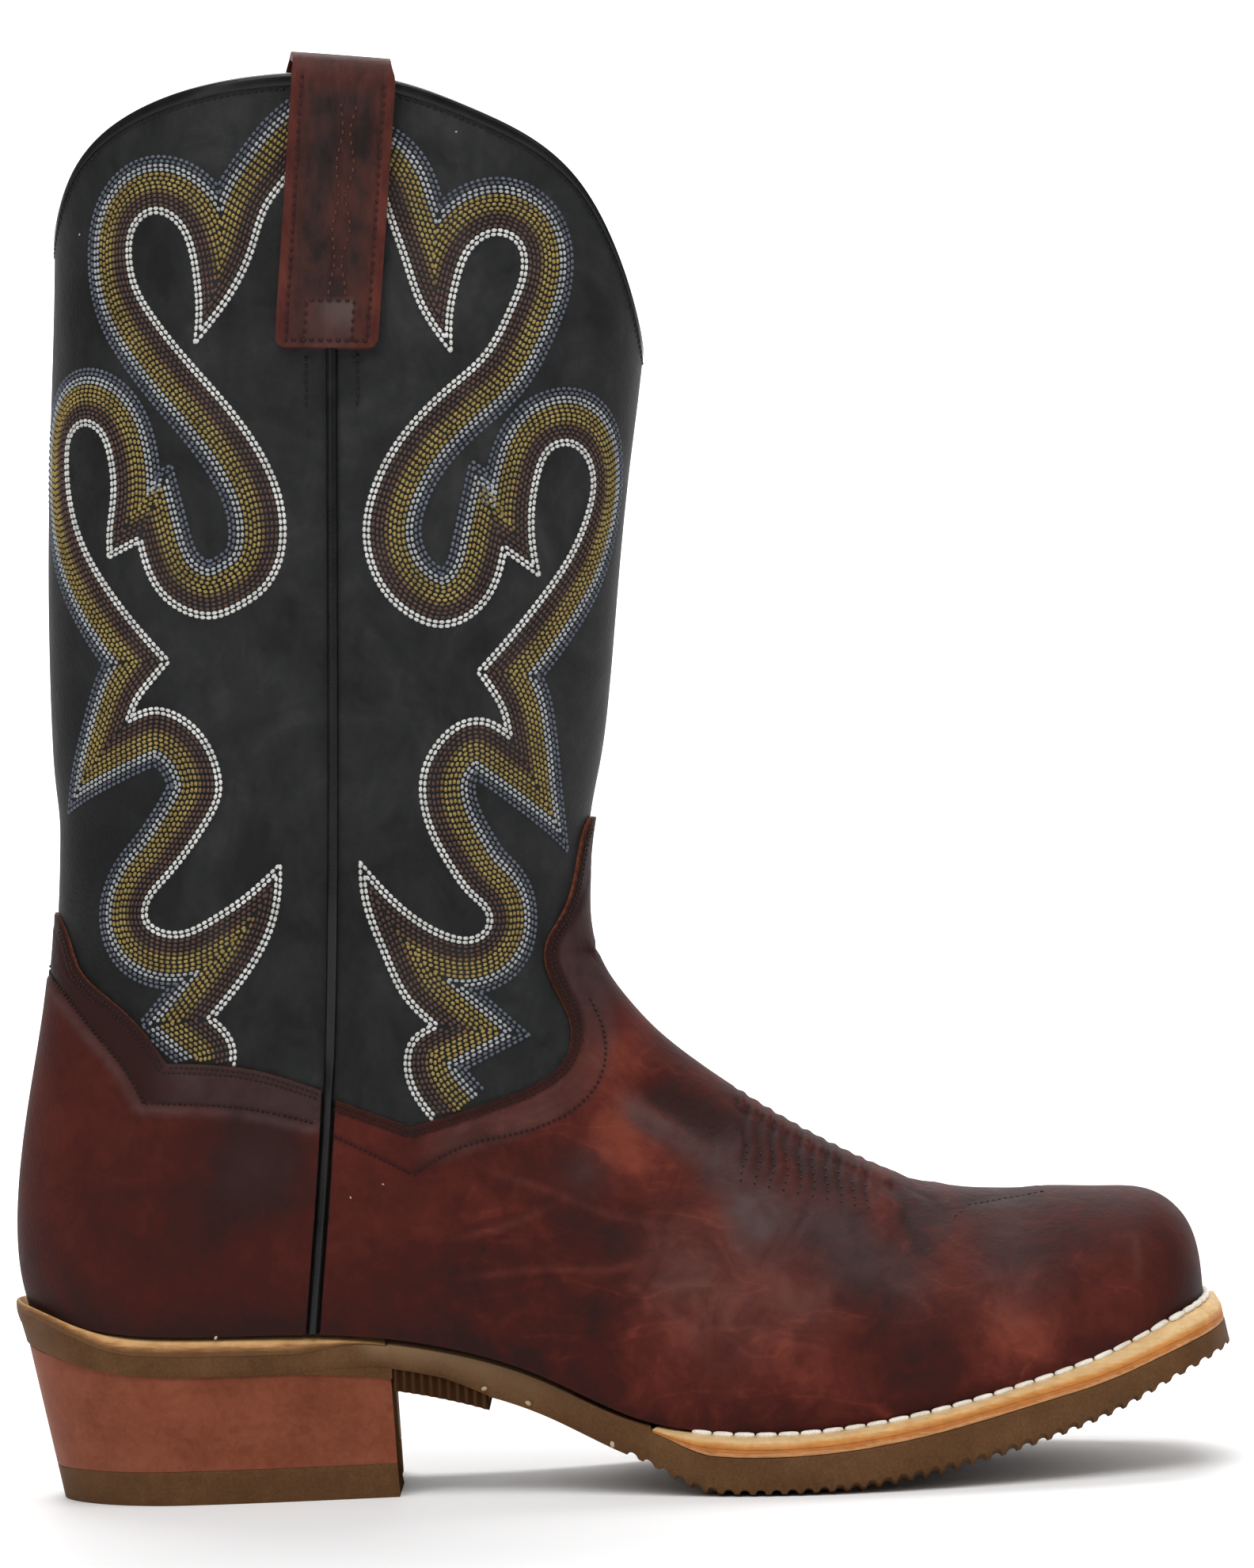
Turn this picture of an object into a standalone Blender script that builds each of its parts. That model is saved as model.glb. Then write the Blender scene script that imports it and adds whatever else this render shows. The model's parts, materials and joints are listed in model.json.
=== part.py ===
"""A right western boot: a hollow leather upper on a last, with overlays, welted sole and walking heel.

X runs from heel to toe, the outer side of the foot is at -Y, and Z is up from the floor.
Sizes and tables are in millimetres. Points become metres when a mesh is made.
"""

import math
from collections import namedtuple

import bmesh
import bpy
import numpy as np
from mathutils import Vector

MM = 0.001

# Driving sizes
FIT_GAP = 0.3
UPPER_WALL = 2.4
OVERLAY_WALL = 1.3
OVERLAY_LIFT = 0.1
WELT_WALL = 4.2
RAND_WALL = 3.5
WELT_REACH = 11.0
INSOLE_TOP = 2.8
INSOLE_INSET = 2.4
SOLE_DEPTH_AT_HEEL = 9.7
SOLE_DEPTH_AT_BALL = 14.2
BALL_CAMBER = 1.4
RIB_PITCH = 3.9
RIB_DEPTH = 1.4
HEEL_CAP_HEIGHT = 8.5
HEEL_UNDERCUT = 11.0
HEEL_TAPER = 0.92
HEEL_INSET = 0.8
BREAST_INSET = 0.4
BREAST_LEAN = 1.2
BREAST_HOLLOW = 1.6
ANKLE_HEIGHT = 150.0
COLLAR_PEAK = 354.3
SHAFT_ROUNDNESS = 2.15
HEEL_ROUND = 31.0
TOE_ROUND = 20.0
TOE_SQUARENESS = 2.4
SOLE_HEEL_ROUND = 33.0
SOLE_TOE_ROUND = 17.0
SOLE_TOE_SQUARENESS = 2.1
RIM_DROP = 0.8
TOE_RIM_DROP = 3.0
HEEL_RIM_RISE = 1.6
RIM_REACH = 3.6
RIDGE_SKEW = 3.0
TOE_BOX_BACK = 90.0
THROAT_SETBACK = 6.0
VIRTUAL_RIDGE_SLOPE = 1.25
SIDE_BULGE = 0.04
STRAP_WIDTH = 25.5
STRAP_WALL = 2.2
STRAP_LEAN = 0.02
STRAP_FOOT = 288.0
PIPING_HALF_WIDTH = 1.4
PIPING_PROUD = 1.5
PIPING_PROUD_ON_FOOT = 2.4
PIPING_TOP = STRAP_FOOT - 0.6
BINDING_GAP = 0.55
BINDING_WALL = 0.8
BINDING_DEPTH = 3.4

# The upper's outline in the side view, on the boot's middle plane
Point = namedtuple("Point", "x z")
FRONT_PROFILE = [
    Point(146.0, 41.4),
    Point(145.7, 50.5),
    Point(143.0, 59.8),
    Point(136.0, 66.0),
    Point(124.0, 67.6),
    Point(110.0, 68.2),
    Point(96.0, 68.2),
    Point(79.5, 70.2),
    Point(60.3, 78.0),
    Point(45.3, 86.4),
    Point(32.6, 94.6),
    Point(18.6, 104.8),
    Point(9.8, 112.4),
    Point(2.6, 120.6),
    Point(-3.6, 130.2),
    Point(-6.4, 140.5),
    Point(-6.4, 151.0),
    Point(-4.8, 165.0),
    Point(-1.6, 180.0),
    Point(1.0, 196.0),
    Point(5.0, 228.0),
    Point(9.2, 259.0),
    Point(13.4, 287.0),
    Point(15.8, 320.0),
    Point(17.0, 357.0),
]
BACK_PROFILE = [
    Point(-149.8, 48.3),
    Point(-151.6, 56.0),
    Point(-152.4, 67.0),
    Point(-150.9, 86.0),
    Point(-147.8, 104.0),
    Point(-144.2, 121.0),
    Point(-141.0, 142.0),
    Point(-140.2, 160.0),
    Point(-140.6, 180.0),
    Point(-141.0, 205.0),
    Point(-140.4, 235.0),
    Point(-138.4, 272.0),
    Point(-136.0, 315.0),
    Point(-134.8, 357.0),
]

# The last at each station: the height of its lower edge, its outline, and how boxy the section is
Station = namedtuple("Station", "x edge_z lateral medial boxiness")
LAST = [
    Station(-155.0, 49.5, 27.0, 26.5, 1.7),
    Station(-128.0, 43.4, 30.5, 29.5, 1.7),
    Station(-100.0, 41.8, 31.5, 30.0, 1.7),
    Station(-70.0, 40.9, 31.0, 29.0, 1.7),
    Station(-45.0, 37.0, 31.0, 27.5, 1.7),
    Station(-20.0, 29.0, 34.5, 28.5, 1.75),
    Station(3.0, 18.6, 40.5, 33.0, 1.85),
    Station(25.0, 15.0, 45.5, 40.0, 2.0),
    Station(48.0, 15.3, 48.0, 45.5, 2.1),
    Station(72.0, 18.4, 46.5, 47.5, 2.3),
    Station(98.0, 24.2, 41.5, 46.0, 2.7),
    Station(120.0, 30.9, 36.0, 42.0, 3.1),
    Station(140.0, 38.8, 31.0, 38.0, 3.4),
    Station(157.0, 43.6, 27.5, 35.0, 3.4),
]

# The sole's edge in plan
SoleStation = namedtuple("SoleStation", "x lateral medial")
SOLE = [
    SoleStation(-155.0, 30.0, 29.0),
    SoleStation(-125.0, 34.0, 33.0),
    SoleStation(-98.0, 34.5, 33.0),
    SoleStation(-70.0, 32.5, 30.5),
    SoleStation(-45.0, 31.0, 27.0),
    SoleStation(-20.0, 34.0, 28.0),
    SoleStation(5.0, 44.5, 34.5),
    SoleStation(25.0, 52.0, 44.0),
    SoleStation(48.0, 55.0, 51.5),
    SoleStation(72.0, 53.2, 55.0),
    SoleStation(98.0, 47.6, 53.0),
    SoleStation(120.0, 41.5, 48.5),
    SoleStation(140.0, 36.0, 43.5),
    SoleStation(155.0, 32.0, 39.5),
]
SOLE_BACK = -155.0
SOLE_TIP = 155.0
WELT_START = 6.0
RAND_END = -60.0
HEEL_BREAST = -58.5
HEEL_BACK = SOLE_BACK + 1.6
TOE_TURNS = 0.18
SHANK_PAD_END = -34.5
SHANK_PAD_DEPTH = 2.0
SHANK_PAD_END_DEPTH = 3.5
RIBS_START = -1.0

# The collar's height round each side, from turn 0 at the back to 1 at the front
Collar = namedtuple("Collar", "turn z")
COLLAR = [
    Collar(-0.12, 333.0),
    Collar(0.0, 318.5),
    Collar(0.12, 333.0),
    Collar(0.255, 347.5),
    Collar(0.45, COLLAR_PEAK),
    Collar(0.55, 351.8),
    Collar(0.64, 344.3),
    Collar(0.785, 325.7),
    Collar(0.9, 298.6),
    Collar(1.0, 286.4),
    Collar(1.1, 298.6),
]

# Half the shaft's width at each height
Girth = namedtuple("Girth", "z half_width")
SHAFT = [
    Girth(40.0, 34.0),
    Girth(75.0, 35.5),
    Girth(110.0, 36.0),
    Girth(150.0, 37.5),
    Girth(200.0, 40.0),
    Girth(250.0, 42.5),
    Girth(300.0, 44.0),
    Girth(360.0, 44.5),
]
SHAFT_BLEND_FROM = 72.0
SHAFT_BLEND_TO = 152.0

# The overlays' upper edges in the side view
VAMP_TONGUE_EDGE = [
    Point(24.0, 173.0),
    Point(-4.0, 169.0),
    Point(-12.0, 145.0),
    Point(-16.9, 136.0),
    Point(-16.5, 130.0),
    Point(-11.0, 115.6),
    Point(-12.4, 108.5),
    Point(-18.5, 103.0),
    Point(-29.7, 98.6),
    Point(-51.7, 92.4),
]
VAMP_SIDE_EDGE = [
    Point(-51.7, 92.4),
    Point(-62.0, 96.6),
    Point(-82.0, 104.5),
]
COUNTER_SIDE_EDGE = [
    Point(-66.0, 99.5),
    Point(-75.0, 103.0),
    Point(-89.5, 108.0),
    Point(-112.3, 110.5),
]
COUNTER_BACK_EDGE = [
    Point(-112.3, 110.5),
    Point(-119.0, 120.0),
    Point(-125.7, 126.4),
    Point(-134.4, 135.0),
    Point(-137.0, 143.0),
    Point(-141.3, 150.0),
    Point(-165.0, 156.0),
]

# The side seam in the side view
SIDE_SEAM = [
    Point(-78.0, 41.0),
    Point(-72.0, 101.0),
    Point(-67.3, 190.0),
    Point(-64.0, STRAP_FOOT),
    Point(-61.5, 357.0),
]
SEAM_CLEARANCE = 1.8

# The pull strap's path over the collar: distance out from the shaft's face, and height
Loop = namedtuple("Loop", "out z")
STRAP_PATH = [
    Loop(0.4, STRAP_FOOT),
    Loop(0.4, 302.0),
    Loop(0.9, 322.0),
    Loop(1.9, 341.0),
    Loop(2.3, 351.0),
    Loop(2.0, 354.6),
    Loop(0.6, 356.7),
    Loop(-1.2, 357.2),
    Loop(-3.0, 356.7),
    Loop(-4.4, 354.6),
    Loop(-4.7, 351.0),
    Loop(-4.3, 341.0),
    Loop(-3.3, 322.0),
    Loop(-2.9, 302.0),
]

# Mesh density
UPPER_STEPS = 42
SHAFT_ROWS = 4
FRONT_ROWS = [
    *(0.0, 0.03, 0.06, 0.096, 0.144),
    *(0.23, 0.335, 0.445, 0.545, 0.64),
    *(0.722, 0.794, 0.861, 0.928, 1.0),
]
FOOT_ROWS = len(FRONT_ROWS) - 1


def natural_spline(knots, values):
    """A smooth curve through the values, straight beyond its ends."""
    knots = np.asarray(knots, float)
    values = np.asarray(values, float)
    count = len(knots)
    widths = np.diff(knots)
    slopes = np.diff(values) / widths
    system = np.eye(count)
    right = np.zeros(count)
    for i in range(1, count - 1):
        system[i, i - 1 : i + 2] = widths[i - 1], 2 * (widths[i - 1] + widths[i]), widths[i]
        right[i] = 6 * (slopes[i] - slopes[i - 1])
    bends = np.linalg.solve(system, right)
    first_slope = slopes[0] - widths[0] * bends[1] / 6
    last_slope = slopes[-1] + widths[-1] * bends[-2] / 6

    def curve(at):
        at = np.asarray(at, float)
        held = np.clip(at, knots[0], knots[-1])
        i = np.clip(np.searchsorted(knots, held) - 1, 0, count - 2)
        after = held - knots[i]
        before = knots[i + 1] - held
        width = widths[i]
        inside = (bends[i] * before**3 + bends[i + 1] * after**3) / (6 * width)
        inside = inside + (values[i] / width - bends[i] * width / 6) * before
        inside = inside + (values[i + 1] / width - bends[i + 1] * width / 6) * after
        inside = inside + np.minimum(at - knots[0], 0) * first_slope
        return inside + np.maximum(at - knots[-1], 0) * last_slope

    return curve


def column(table, name):
    return [getattr(row, name) for row in table]


def path_through(points, steps):
    """Points along a smooth line through a table of points, evenly spread by length."""
    xs, zs = np.array(points, float).T
    reach = np.concatenate([[0], np.cumsum(np.hypot(np.diff(xs), np.diff(zs)))])
    at = np.linspace(0, reach[-1], steps)
    return natural_spline(reach, xs)(at), natural_spline(reach, zs)(at)


def ease(low, high, value):
    share = np.clip((value - low) / (high - low), 0, 1)
    return share * share * (3 - 2 * share)


FINE = 800
FRONT_X, FRONT_Z = path_through(FRONT_PROFILE, FINE)
BACK_X, BACK_Z = path_through(BACK_PROFILE, FINE)
THROAT = int(np.argmin(FRONT_X))
RISING = int(np.argmax(FRONT_X < TOE_BOX_BACK))

edge_height = natural_spline(column(LAST, "x"), column(LAST, "edge_z"))
last_lateral = natural_spline(column(LAST, "x"), column(LAST, "lateral"))
last_medial = natural_spline(column(LAST, "x"), column(LAST, "medial"))
boxiness = natural_spline(column(LAST, "x"), column(LAST, "boxiness"))
sole_lateral_body = natural_spline(column(SOLE, "x"), column(SOLE, "lateral"))
sole_medial_body = natural_spline(column(SOLE, "x"), column(SOLE, "medial"))
shaft_half_width = natural_spline(column(SHAFT, "z"), column(SHAFT, "half_width"))
collar_height = natural_spline(column(COLLAR, "turn"), column(COLLAR, "z"))


def ridge_height(x):
    """The top of the foot, carried on upwards behind the throat."""
    throat_x = FRONT_X[THROAT] + THROAT_SETBACK
    on_foot = np.interp(np.maximum(x, throat_x), FRONT_X[THROAT::-1], FRONT_Z[THROAT::-1])
    return on_foot + np.maximum(throat_x - x, 0) * VIRTUAL_RIDGE_SLOPE


def front_edge(z):
    return np.interp(z, FRONT_Z[RISING:], FRONT_X[RISING:])


def back_edge(z):
    return np.interp(z, BACK_Z, BACK_X)


def rounded_end(distance, radius, power):
    """Share of the full width left at this distance from a rounded end."""
    inward = np.clip(1 - distance / radius, 0, 1)
    return np.maximum(1 - inward**power, 0) ** (1 / power)


def upper_half_width(x, z):
    """Half the upper's width at a place in the side view, and its middle line there."""
    low = edge_height(x)
    rise = np.clip((z - low) / np.maximum(ridge_height(x) - low, 1e-6), 0, 1)
    lateral, medial = last_lateral(x), last_medial(x)
    foot = (lateral + medial) / 2 * np.sqrt(1 - rise ** boxiness(x))
    foot = foot * (1 + SIDE_BULGE * np.sin(math.pi * np.sqrt(rise)) ** 2)
    foot = foot * rounded_end(x - back_edge(z), HEEL_ROUND, 2)
    foot = foot * rounded_end(FRONT_PROFILE[0].x - x, TOE_ROUND, TOE_SQUARENESS)
    back, front = back_edge(z), front_edge(z)
    share = np.clip((x - back) / (front - back), 0, 1)
    shaft = shaft_half_width(z) * np.sqrt(1 - np.abs(2 * share - 1) ** SHAFT_ROUNDNESS)
    blend = ease(SHAFT_BLEND_FROM, SHAFT_BLEND_TO, z)
    middle = ((medial - lateral) / 2 + RIDGE_SKEW * rise) * (1 - blend)
    return foot * (1 - blend) + shaft * blend, middle


def side_place(turn, level):
    """A place in the side view.

    Turn runs 0 to 1 from back to front, level 0 to 1 up the foot and 1 to 2 up the shaft.
    """
    run = (1 - np.cos(math.pi * turn)) / 2
    low = np.clip(level, 0, 1)
    ankle_back, ankle_front = back_edge(ANKLE_HEIGHT), front_edge(ANKLE_HEIGHT)
    ankle_row = int(np.argmin(np.abs(BACK_Z - ANKLE_HEIGHT)))
    throat_row = RISING + int(np.argmin(np.abs(FRONT_Z[RISING:] - ANKLE_HEIGHT)))
    foot_rows = np.arange(FINE)
    back_at = low * ankle_row
    front_at = np.interp(low, np.linspace(0, 1, FOOT_ROWS + 1), FRONT_ROWS) * throat_row
    back = [np.interp(back_at, foot_rows, BACK_X), np.interp(back_at, foot_rows, BACK_Z)]
    front = [np.interp(front_at, foot_rows, FRONT_X), np.interp(front_at, foot_rows, FRONT_Z)]
    edge_x = BACK_X[0] + run * (FRONT_X[0] - BACK_X[0])
    edge_rise = edge_height(edge_x) + (BACK_Z[0] - edge_height(BACK_X[0])) * (1 - run)
    edge = [edge_x, edge_rise + (FRONT_Z[0] - edge_height(FRONT_X[0])) * run]
    ankle = [ankle_back + run * (ankle_front - ankle_back), np.full_like(run, ANKLE_HEIGHT)]
    corners = [
        (BACK_X[0], FRONT_X[0], ankle_back, ankle_front),
        (BACK_Z[0], FRONT_Z[0], ANKLE_HEIGHT, ANKLE_HEIGHT),
    ]
    place = []
    for i in range(2):
        heel, toe, ankle_heel, ankle_toe = corners[i]
        rows = (1 - low) * edge[i] + low * ankle[i] + (1 - run) * back[i] + run * front[i]
        rows = rows - (1 - low) * ((1 - run) * heel + run * toe)
        place.append(rows - low * ((1 - run) * ankle_heel + run * ankle_toe))
    shaft_z = ANKLE_HEIGHT + (level - 1) * (collar_height(turn) - ANKLE_HEIGHT)
    shaft_x = back_edge(shaft_z) + run * (front_edge(shaft_z) - back_edge(shaft_z))
    on_shaft = level > 1
    return np.where(on_shaft, shaft_x, place[0]), np.where(on_shaft, shaft_z, place[1])


def upper_surface(around, level):
    """A point on the upper's outer face.

    Around runs 0 to 1 along the outer side and 1 to 2 back along the inner side.
    """
    turn = np.where(around <= 1, around, 2 - around)
    x, z = side_place(turn, level)
    half, middle = upper_half_width(x, z)
    at_end = (turn <= 0) | (turn >= 1)
    half = np.where(at_end, 0, half)
    return np.stack([x, middle + np.where(around <= 1, -half, half), z], axis=-1)


def sole_lateral(x):
    return sole_lateral_body(x) * sole_rounding(x)


def sole_medial(x):
    return sole_medial_body(x) * sole_rounding(x)


def sole_rounding(x):
    heel = rounded_end(x - SOLE_BACK, SOLE_HEEL_ROUND, 2)
    return heel * rounded_end(SOLE_TIP - x, SOLE_TOE_ROUND, SOLE_TOE_SQUARENESS)


seam_x = natural_spline(column(SIDE_SEAM, "z"), column(SIDE_SEAM, "x"))


def leather(name, colour, roughness):
    material = bpy.data.materials.new(name)
    material.use_nodes = True
    shader = material.node_tree.nodes["Principled BSDF"]
    shader.inputs["Base Color"].default_value = (*colour, 1)
    shader.inputs["Roughness"].default_value = roughness
    shader.inputs["Metallic"].default_value = 0
    return material


def add_object(name, mesh_builder, material, collection):
    mesh = bpy.data.meshes.new(name)
    mesh_builder.to_mesh(mesh)
    mesh_builder.free()
    piece = bpy.data.objects.new(name, mesh)
    piece.data.materials.append(material)
    collection.objects.link(piece)
    mesh.shade_smooth()
    mesh.set_sharp_from_angle(angle=math.radians(40))
    return piece


def grid_mesh(rows, columns, place):
    """A grid of rows and columns with each point put where place(row value, column value) says."""
    builder = bmesh.new()
    bmesh.ops.create_grid(builder, x_segments=len(rows) - 1, y_segments=len(columns) - 1, size=0.5)
    row_at = [round((v.co.x + 0.5) * (len(rows) - 1)) for v in builder.verts]
    column_at = [round((v.co.y + 0.5) * (len(columns) - 1)) for v in builder.verts]
    points = place(np.asarray(rows, float)[row_at], np.asarray(columns, float)[column_at])
    for vertex, point in zip(builder.verts, points):
        vertex.co = point * MM
    return builder


def closed_sheet(builder, weld=0.02):
    bmesh.ops.remove_doubles(builder, verts=builder.verts, dist=weld * MM)
    bmesh.ops.recalc_face_normals(builder, faces=builder.faces)
    builder.normal_update()
    return builder


def thicken(piece, wall, offset):
    solidify = piece.modifiers.new("wall", "SOLIDIFY")
    solidify.thickness = wall * MM
    solidify.offset = offset
    solidify.use_even_offset = True
    return piece


def slab_mesh(rows, columns, top, bottom):
    """A grid at its upper face, drawn down to its lower face and closed round the edge."""
    builder = grid_mesh(rows, columns, top)
    upper_count = len(builder.verts)
    lower = grid_mesh(rows, columns, bottom)
    lower_points = [v.co.copy() for v in lower.verts]
    lower.free()
    upper_verts = list(builder.verts)
    drawn = bmesh.ops.extrude_face_region(builder, geom=list(builder.faces), use_keep_orig=True)
    new_verts = [item for item in drawn["geom"] if isinstance(item, bmesh.types.BMVert)]
    where = {tuple(v.co): i for i, v in enumerate(upper_verts[:upper_count])}
    for vertex in new_verts:
        vertex.co = lower_points[where[tuple(vertex.co)]]
    return closed_sheet(builder)


def outline_prism(points, reach):
    """A closed outline in the side view, drawn out across the boot."""
    builder = bmesh.new()
    ring = [builder.verts.new((x * MM, -reach * MM, z * MM)) for x, z in points]
    builder.faces.new(ring)
    drawn = bmesh.ops.extrude_face_region(builder, geom=list(builder.faces), use_keep_orig=True)
    moved = [item for item in drawn["geom"] if isinstance(item, bmesh.types.BMVert)]
    bmesh.ops.translate(builder, verts=moved, vec=(0, 2 * reach * MM, 0))
    bmesh.ops.recalc_face_normals(builder, faces=builder.faces)
    return builder


def upper_sheet(shaft_rows):
    """The upper's outer face from its lower edge up, cut into the same triangles each time."""
    arounds = np.linspace(0, 2, UPPER_STEPS + 1)
    shaft_levels = np.linspace(1, 2, SHAFT_ROWS + 1)[1 : shaft_rows + 1]
    levels = np.concatenate([np.linspace(0, 1, FOOT_ROWS + 1), shaft_levels])
    builder = closed_sheet(grid_mesh(arounds, levels, upper_surface))
    bmesh.ops.triangulate(builder, faces=builder.faces, quad_method="FIXED")
    builder.normal_update()
    return builder


def make_upper(collection, material):
    builder = upper_sheet(SHAFT_ROWS)
    return thicken(add_object("upper", builder, material, collection), UPPER_WALL, -1)


def make_overlay(name, outline, collection, cutters, material):
    """A shell lying on the upper, cut to an outline in the side view."""
    builder = upper_sheet(2)
    for vertex in builder.verts:
        vertex.co = vertex.co + vertex.normal * FIT_GAP * MM
    piece = thicken(add_object(name, builder, material, collection), OVERLAY_WALL, 1)
    cutter = add_object(name + "_outline", outline_prism(outline, 90.0), material, cutters)
    cutter.hide_render = True
    cutter.display_type = "WIRE"
    cut = piece.modifiers.new("outline", "BOOLEAN")
    cut.operation = "INTERSECT"
    cut.object = cutter
    return piece


def edge_points(*tables):
    """Points along overlay edges that meet at corners."""
    points = []
    for table in tables:
        xs, zs = path_through(table, 2 * len(table) + 2)
        points += list(zip(xs, zs))[bool(points) :]
    return points


def lower_edge(start, end, steps):
    """Points just over the upper's lower edge."""
    xs = np.linspace(start, end, steps)
    return list(zip(xs, edge_height(xs) + OVERLAY_LIFT))


def seam_edge(high, low, clearance):
    """Points down one side of the seam."""
    zs = np.linspace(high, low, 3)
    return list(zip(seam_x(zs) + clearance, zs))


def vamp_outline():
    edge = edge_points(VAMP_TONGUE_EDGE, VAMP_SIDE_EDGE)
    ahead = [p for p in edge if p[0] > seam_x(p[1]) + SEAM_CLEARANCE]
    foot = SIDE_SEAM[0]
    down = seam_edge(ahead[-1][1] + 0.5, foot.z + OVERLAY_LIFT, SEAM_CLEARANCE)
    below = lower_edge(foot.x + SEAM_CLEARANCE, SOLE_TIP, 24)
    return [(SOLE_TIP, VAMP_TONGUE_EDGE[0].z), *ahead, *down, *below[1:]]


def counter_outline():
    edge = edge_points(COUNTER_SIDE_EDGE, COUNTER_BACK_EDGE)
    behind = [p for p in edge if p[0] < seam_x(p[1]) - SEAM_CLEARANCE]
    foot = SIDE_SEAM[0]
    up = seam_edge(foot.z + OVERLAY_LIFT, behind[0][1] - 0.4, -SEAM_CLEARANCE)
    below = lower_edge(COUNTER_BACK_EDGE[-1].x, foot.x - SEAM_CLEARANCE, 9)
    return [*up, *behind, *below[:-1]]


def make_piping(name, side, collection, material):
    heights = np.linspace(edge_height(SIDE_SEAM[0].x) + 0.6, PIPING_TOP, 18)
    across = [-1.0, -0.55, 0.55, 1.0]

    def face(z, share, out):
        x = seam_x(z) + share * PIPING_HALF_WIDTH
        half, middle = upper_half_width(x, z)
        return np.stack([x, middle + side * (half + out), z], axis=-1)

    def crown(z, share):
        proud = PIPING_PROUD_ON_FOOT + (PIPING_PROUD - PIPING_PROUD_ON_FOOT) * ease(100.0, 112.0, z)
        return face(z, share, FIT_GAP + 0.1 + proud * (0.45 + 0.55 * np.sqrt(1 - share**2)))

    def base(z, share):
        return face(z, share, FIT_GAP + 0.1)

    return add_object(name, slab_mesh(heights, across, crown, base), material, collection)


def make_pull_strap(name, side, collection, material):
    outs, heights = np.array(STRAP_PATH).T
    across = np.linspace(-STRAP_WIDTH / 2, STRAP_WIDTH / 2, 5)
    steps = np.arange(len(outs))

    def face(step, offset):
        z = heights[step.astype(int)]
        out = outs[step.astype(int)]
        x = seam_x(z) - STRAP_LEAN * (COLLAR_PEAK - z) + offset
        half, middle = upper_half_width(x, np.minimum(z, COLLAR_PEAK))
        return np.stack([x, middle + side * (half + out), z], axis=-1)

    builder = grid_mesh(steps, across, face)
    bmesh.ops.recalc_face_normals(builder, faces=builder.faces)
    builder.normal_update()
    outermost = max(builder.faces, key=lambda f: side * f.calc_center_median().y)
    if outermost.normal.y * side < 0:
        bmesh.ops.reverse_faces(builder, faces=builder.faces)
    return thicken(add_object(name, builder, material, collection), STRAP_WALL, 1)


def collar_rim(arounds):
    """Points along the collar, with the way out from the upper's face and the way up it at each."""
    sheet = upper_sheet(SHAFT_ROWS)
    rim = upper_surface(arounds, np.full_like(arounds, 2.0))
    row_below = upper_surface(arounds, np.full_like(arounds, 2.0 - 1 / SHAFT_ROWS))
    upwards = (rim - row_below) / (rim - row_below)[:, 2:]
    outwards = []
    for point in rim:
        nearest = min(sheet.verts, key=lambda v: (v.co - Vector(point * MM)).length)
        outwards.append(nearest.normal[:])
    sheet.free()
    return rim, np.array(outwards), upwards


def make_binding(collection, material):
    """A folded strip that straddles the collar's edge."""
    arounds = np.linspace(0, 2, UPPER_STEPS + 1)
    near, far = BINDING_GAP, BINDING_GAP + BINDING_WALL
    outer, inner = far, -UPPER_WALL - far
    section = [
        (outer, -BINDING_DEPTH),
        (outer - 0.4, far),
        (inner + 0.4, far),
        (inner, -BINDING_DEPTH),
        (-UPPER_WALL - near, -BINDING_DEPTH),
        (-UPPER_WALL - near, near),
        (near, near),
        (near, -BINDING_DEPTH),
        (outer, -BINDING_DEPTH),
    ]
    outs, rises = np.array(section).T
    rim, outwards, upwards = collar_rim(arounds)

    def face(place, step):
        place, step = place.astype(int), step.astype(int)
        return rim[place] + outwards[place] * outs[step][:, None] + upwards[place] * rises[step][:, None]

    builder = closed_sheet(grid_mesh(np.arange(len(arounds)), np.arange(len(section)), face))
    return add_object("top_binding", builder, material, collection)


def plan_line(turns, inward):
    """The sole's edge in plan, drawn inwards.

    Turn 0 to 1 is the outer side from heel to toe, 1 to 2 the inner side back.
    """

    def edge(turn):
        half_turn = np.where(turn <= 1, turn, 2 - turn)
        x = SOLE_BACK + (SOLE_TIP - SOLE_BACK) * (1 - np.cos(math.pi * half_turn)) / 2
        return np.stack([x, np.where(turn <= 1, -sole_lateral(x), sole_medial(x))], axis=-1)

    step = 0.002
    along = edge(np.mod(turns + step, 2)) - edge(np.mod(turns - step, 2))
    along = along / np.linalg.norm(along, axis=1)[:, None]
    return edge(turns) + inward[:, None] * np.stack([-along[:, 1], along[:, 0]], axis=-1)


def rim_slope(x, y):
    """How far the sole's layers turn down towards their rim."""
    half, ahead = (np.where(y < 0, sole_lateral(at), sole_medial(at)) for at in (x, x + 0.02))
    inward = (half - np.abs(y)) / np.hypot(1, (ahead - half) / 0.02)
    drop = RIM_DROP + (TOE_RIM_DROP - RIM_DROP) * ease(95.0, 140.0, x)
    drop = drop - (RIM_DROP + HEEL_RIM_RISE) * ease(-125.0, -150.0, x)
    return drop * (1 - np.clip(inward / RIM_REACH, 0, 1))


def band_mesh(turns, reach, wall):
    """A strip under the upper's edge, following the sole's edge in plan."""

    def face(turn, inward, drop):
        x, y = plan_line(turn, inward).T
        return np.stack([x, y, edge_height(x) - drop - rim_slope(x, y)], axis=-1)

    def top(turn, inward):
        return face(turn, inward, FIT_GAP)

    def bottom(turn, inward):
        return face(turn, inward, FIT_GAP + wall)

    return slab_mesh(turns, [0.0, RIM_REACH, reach], top, bottom)


def turn_at(x):
    return math.acos(1 - 2 * (x - SOLE_BACK) / (SOLE_TIP - SOLE_BACK)) / math.pi


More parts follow.
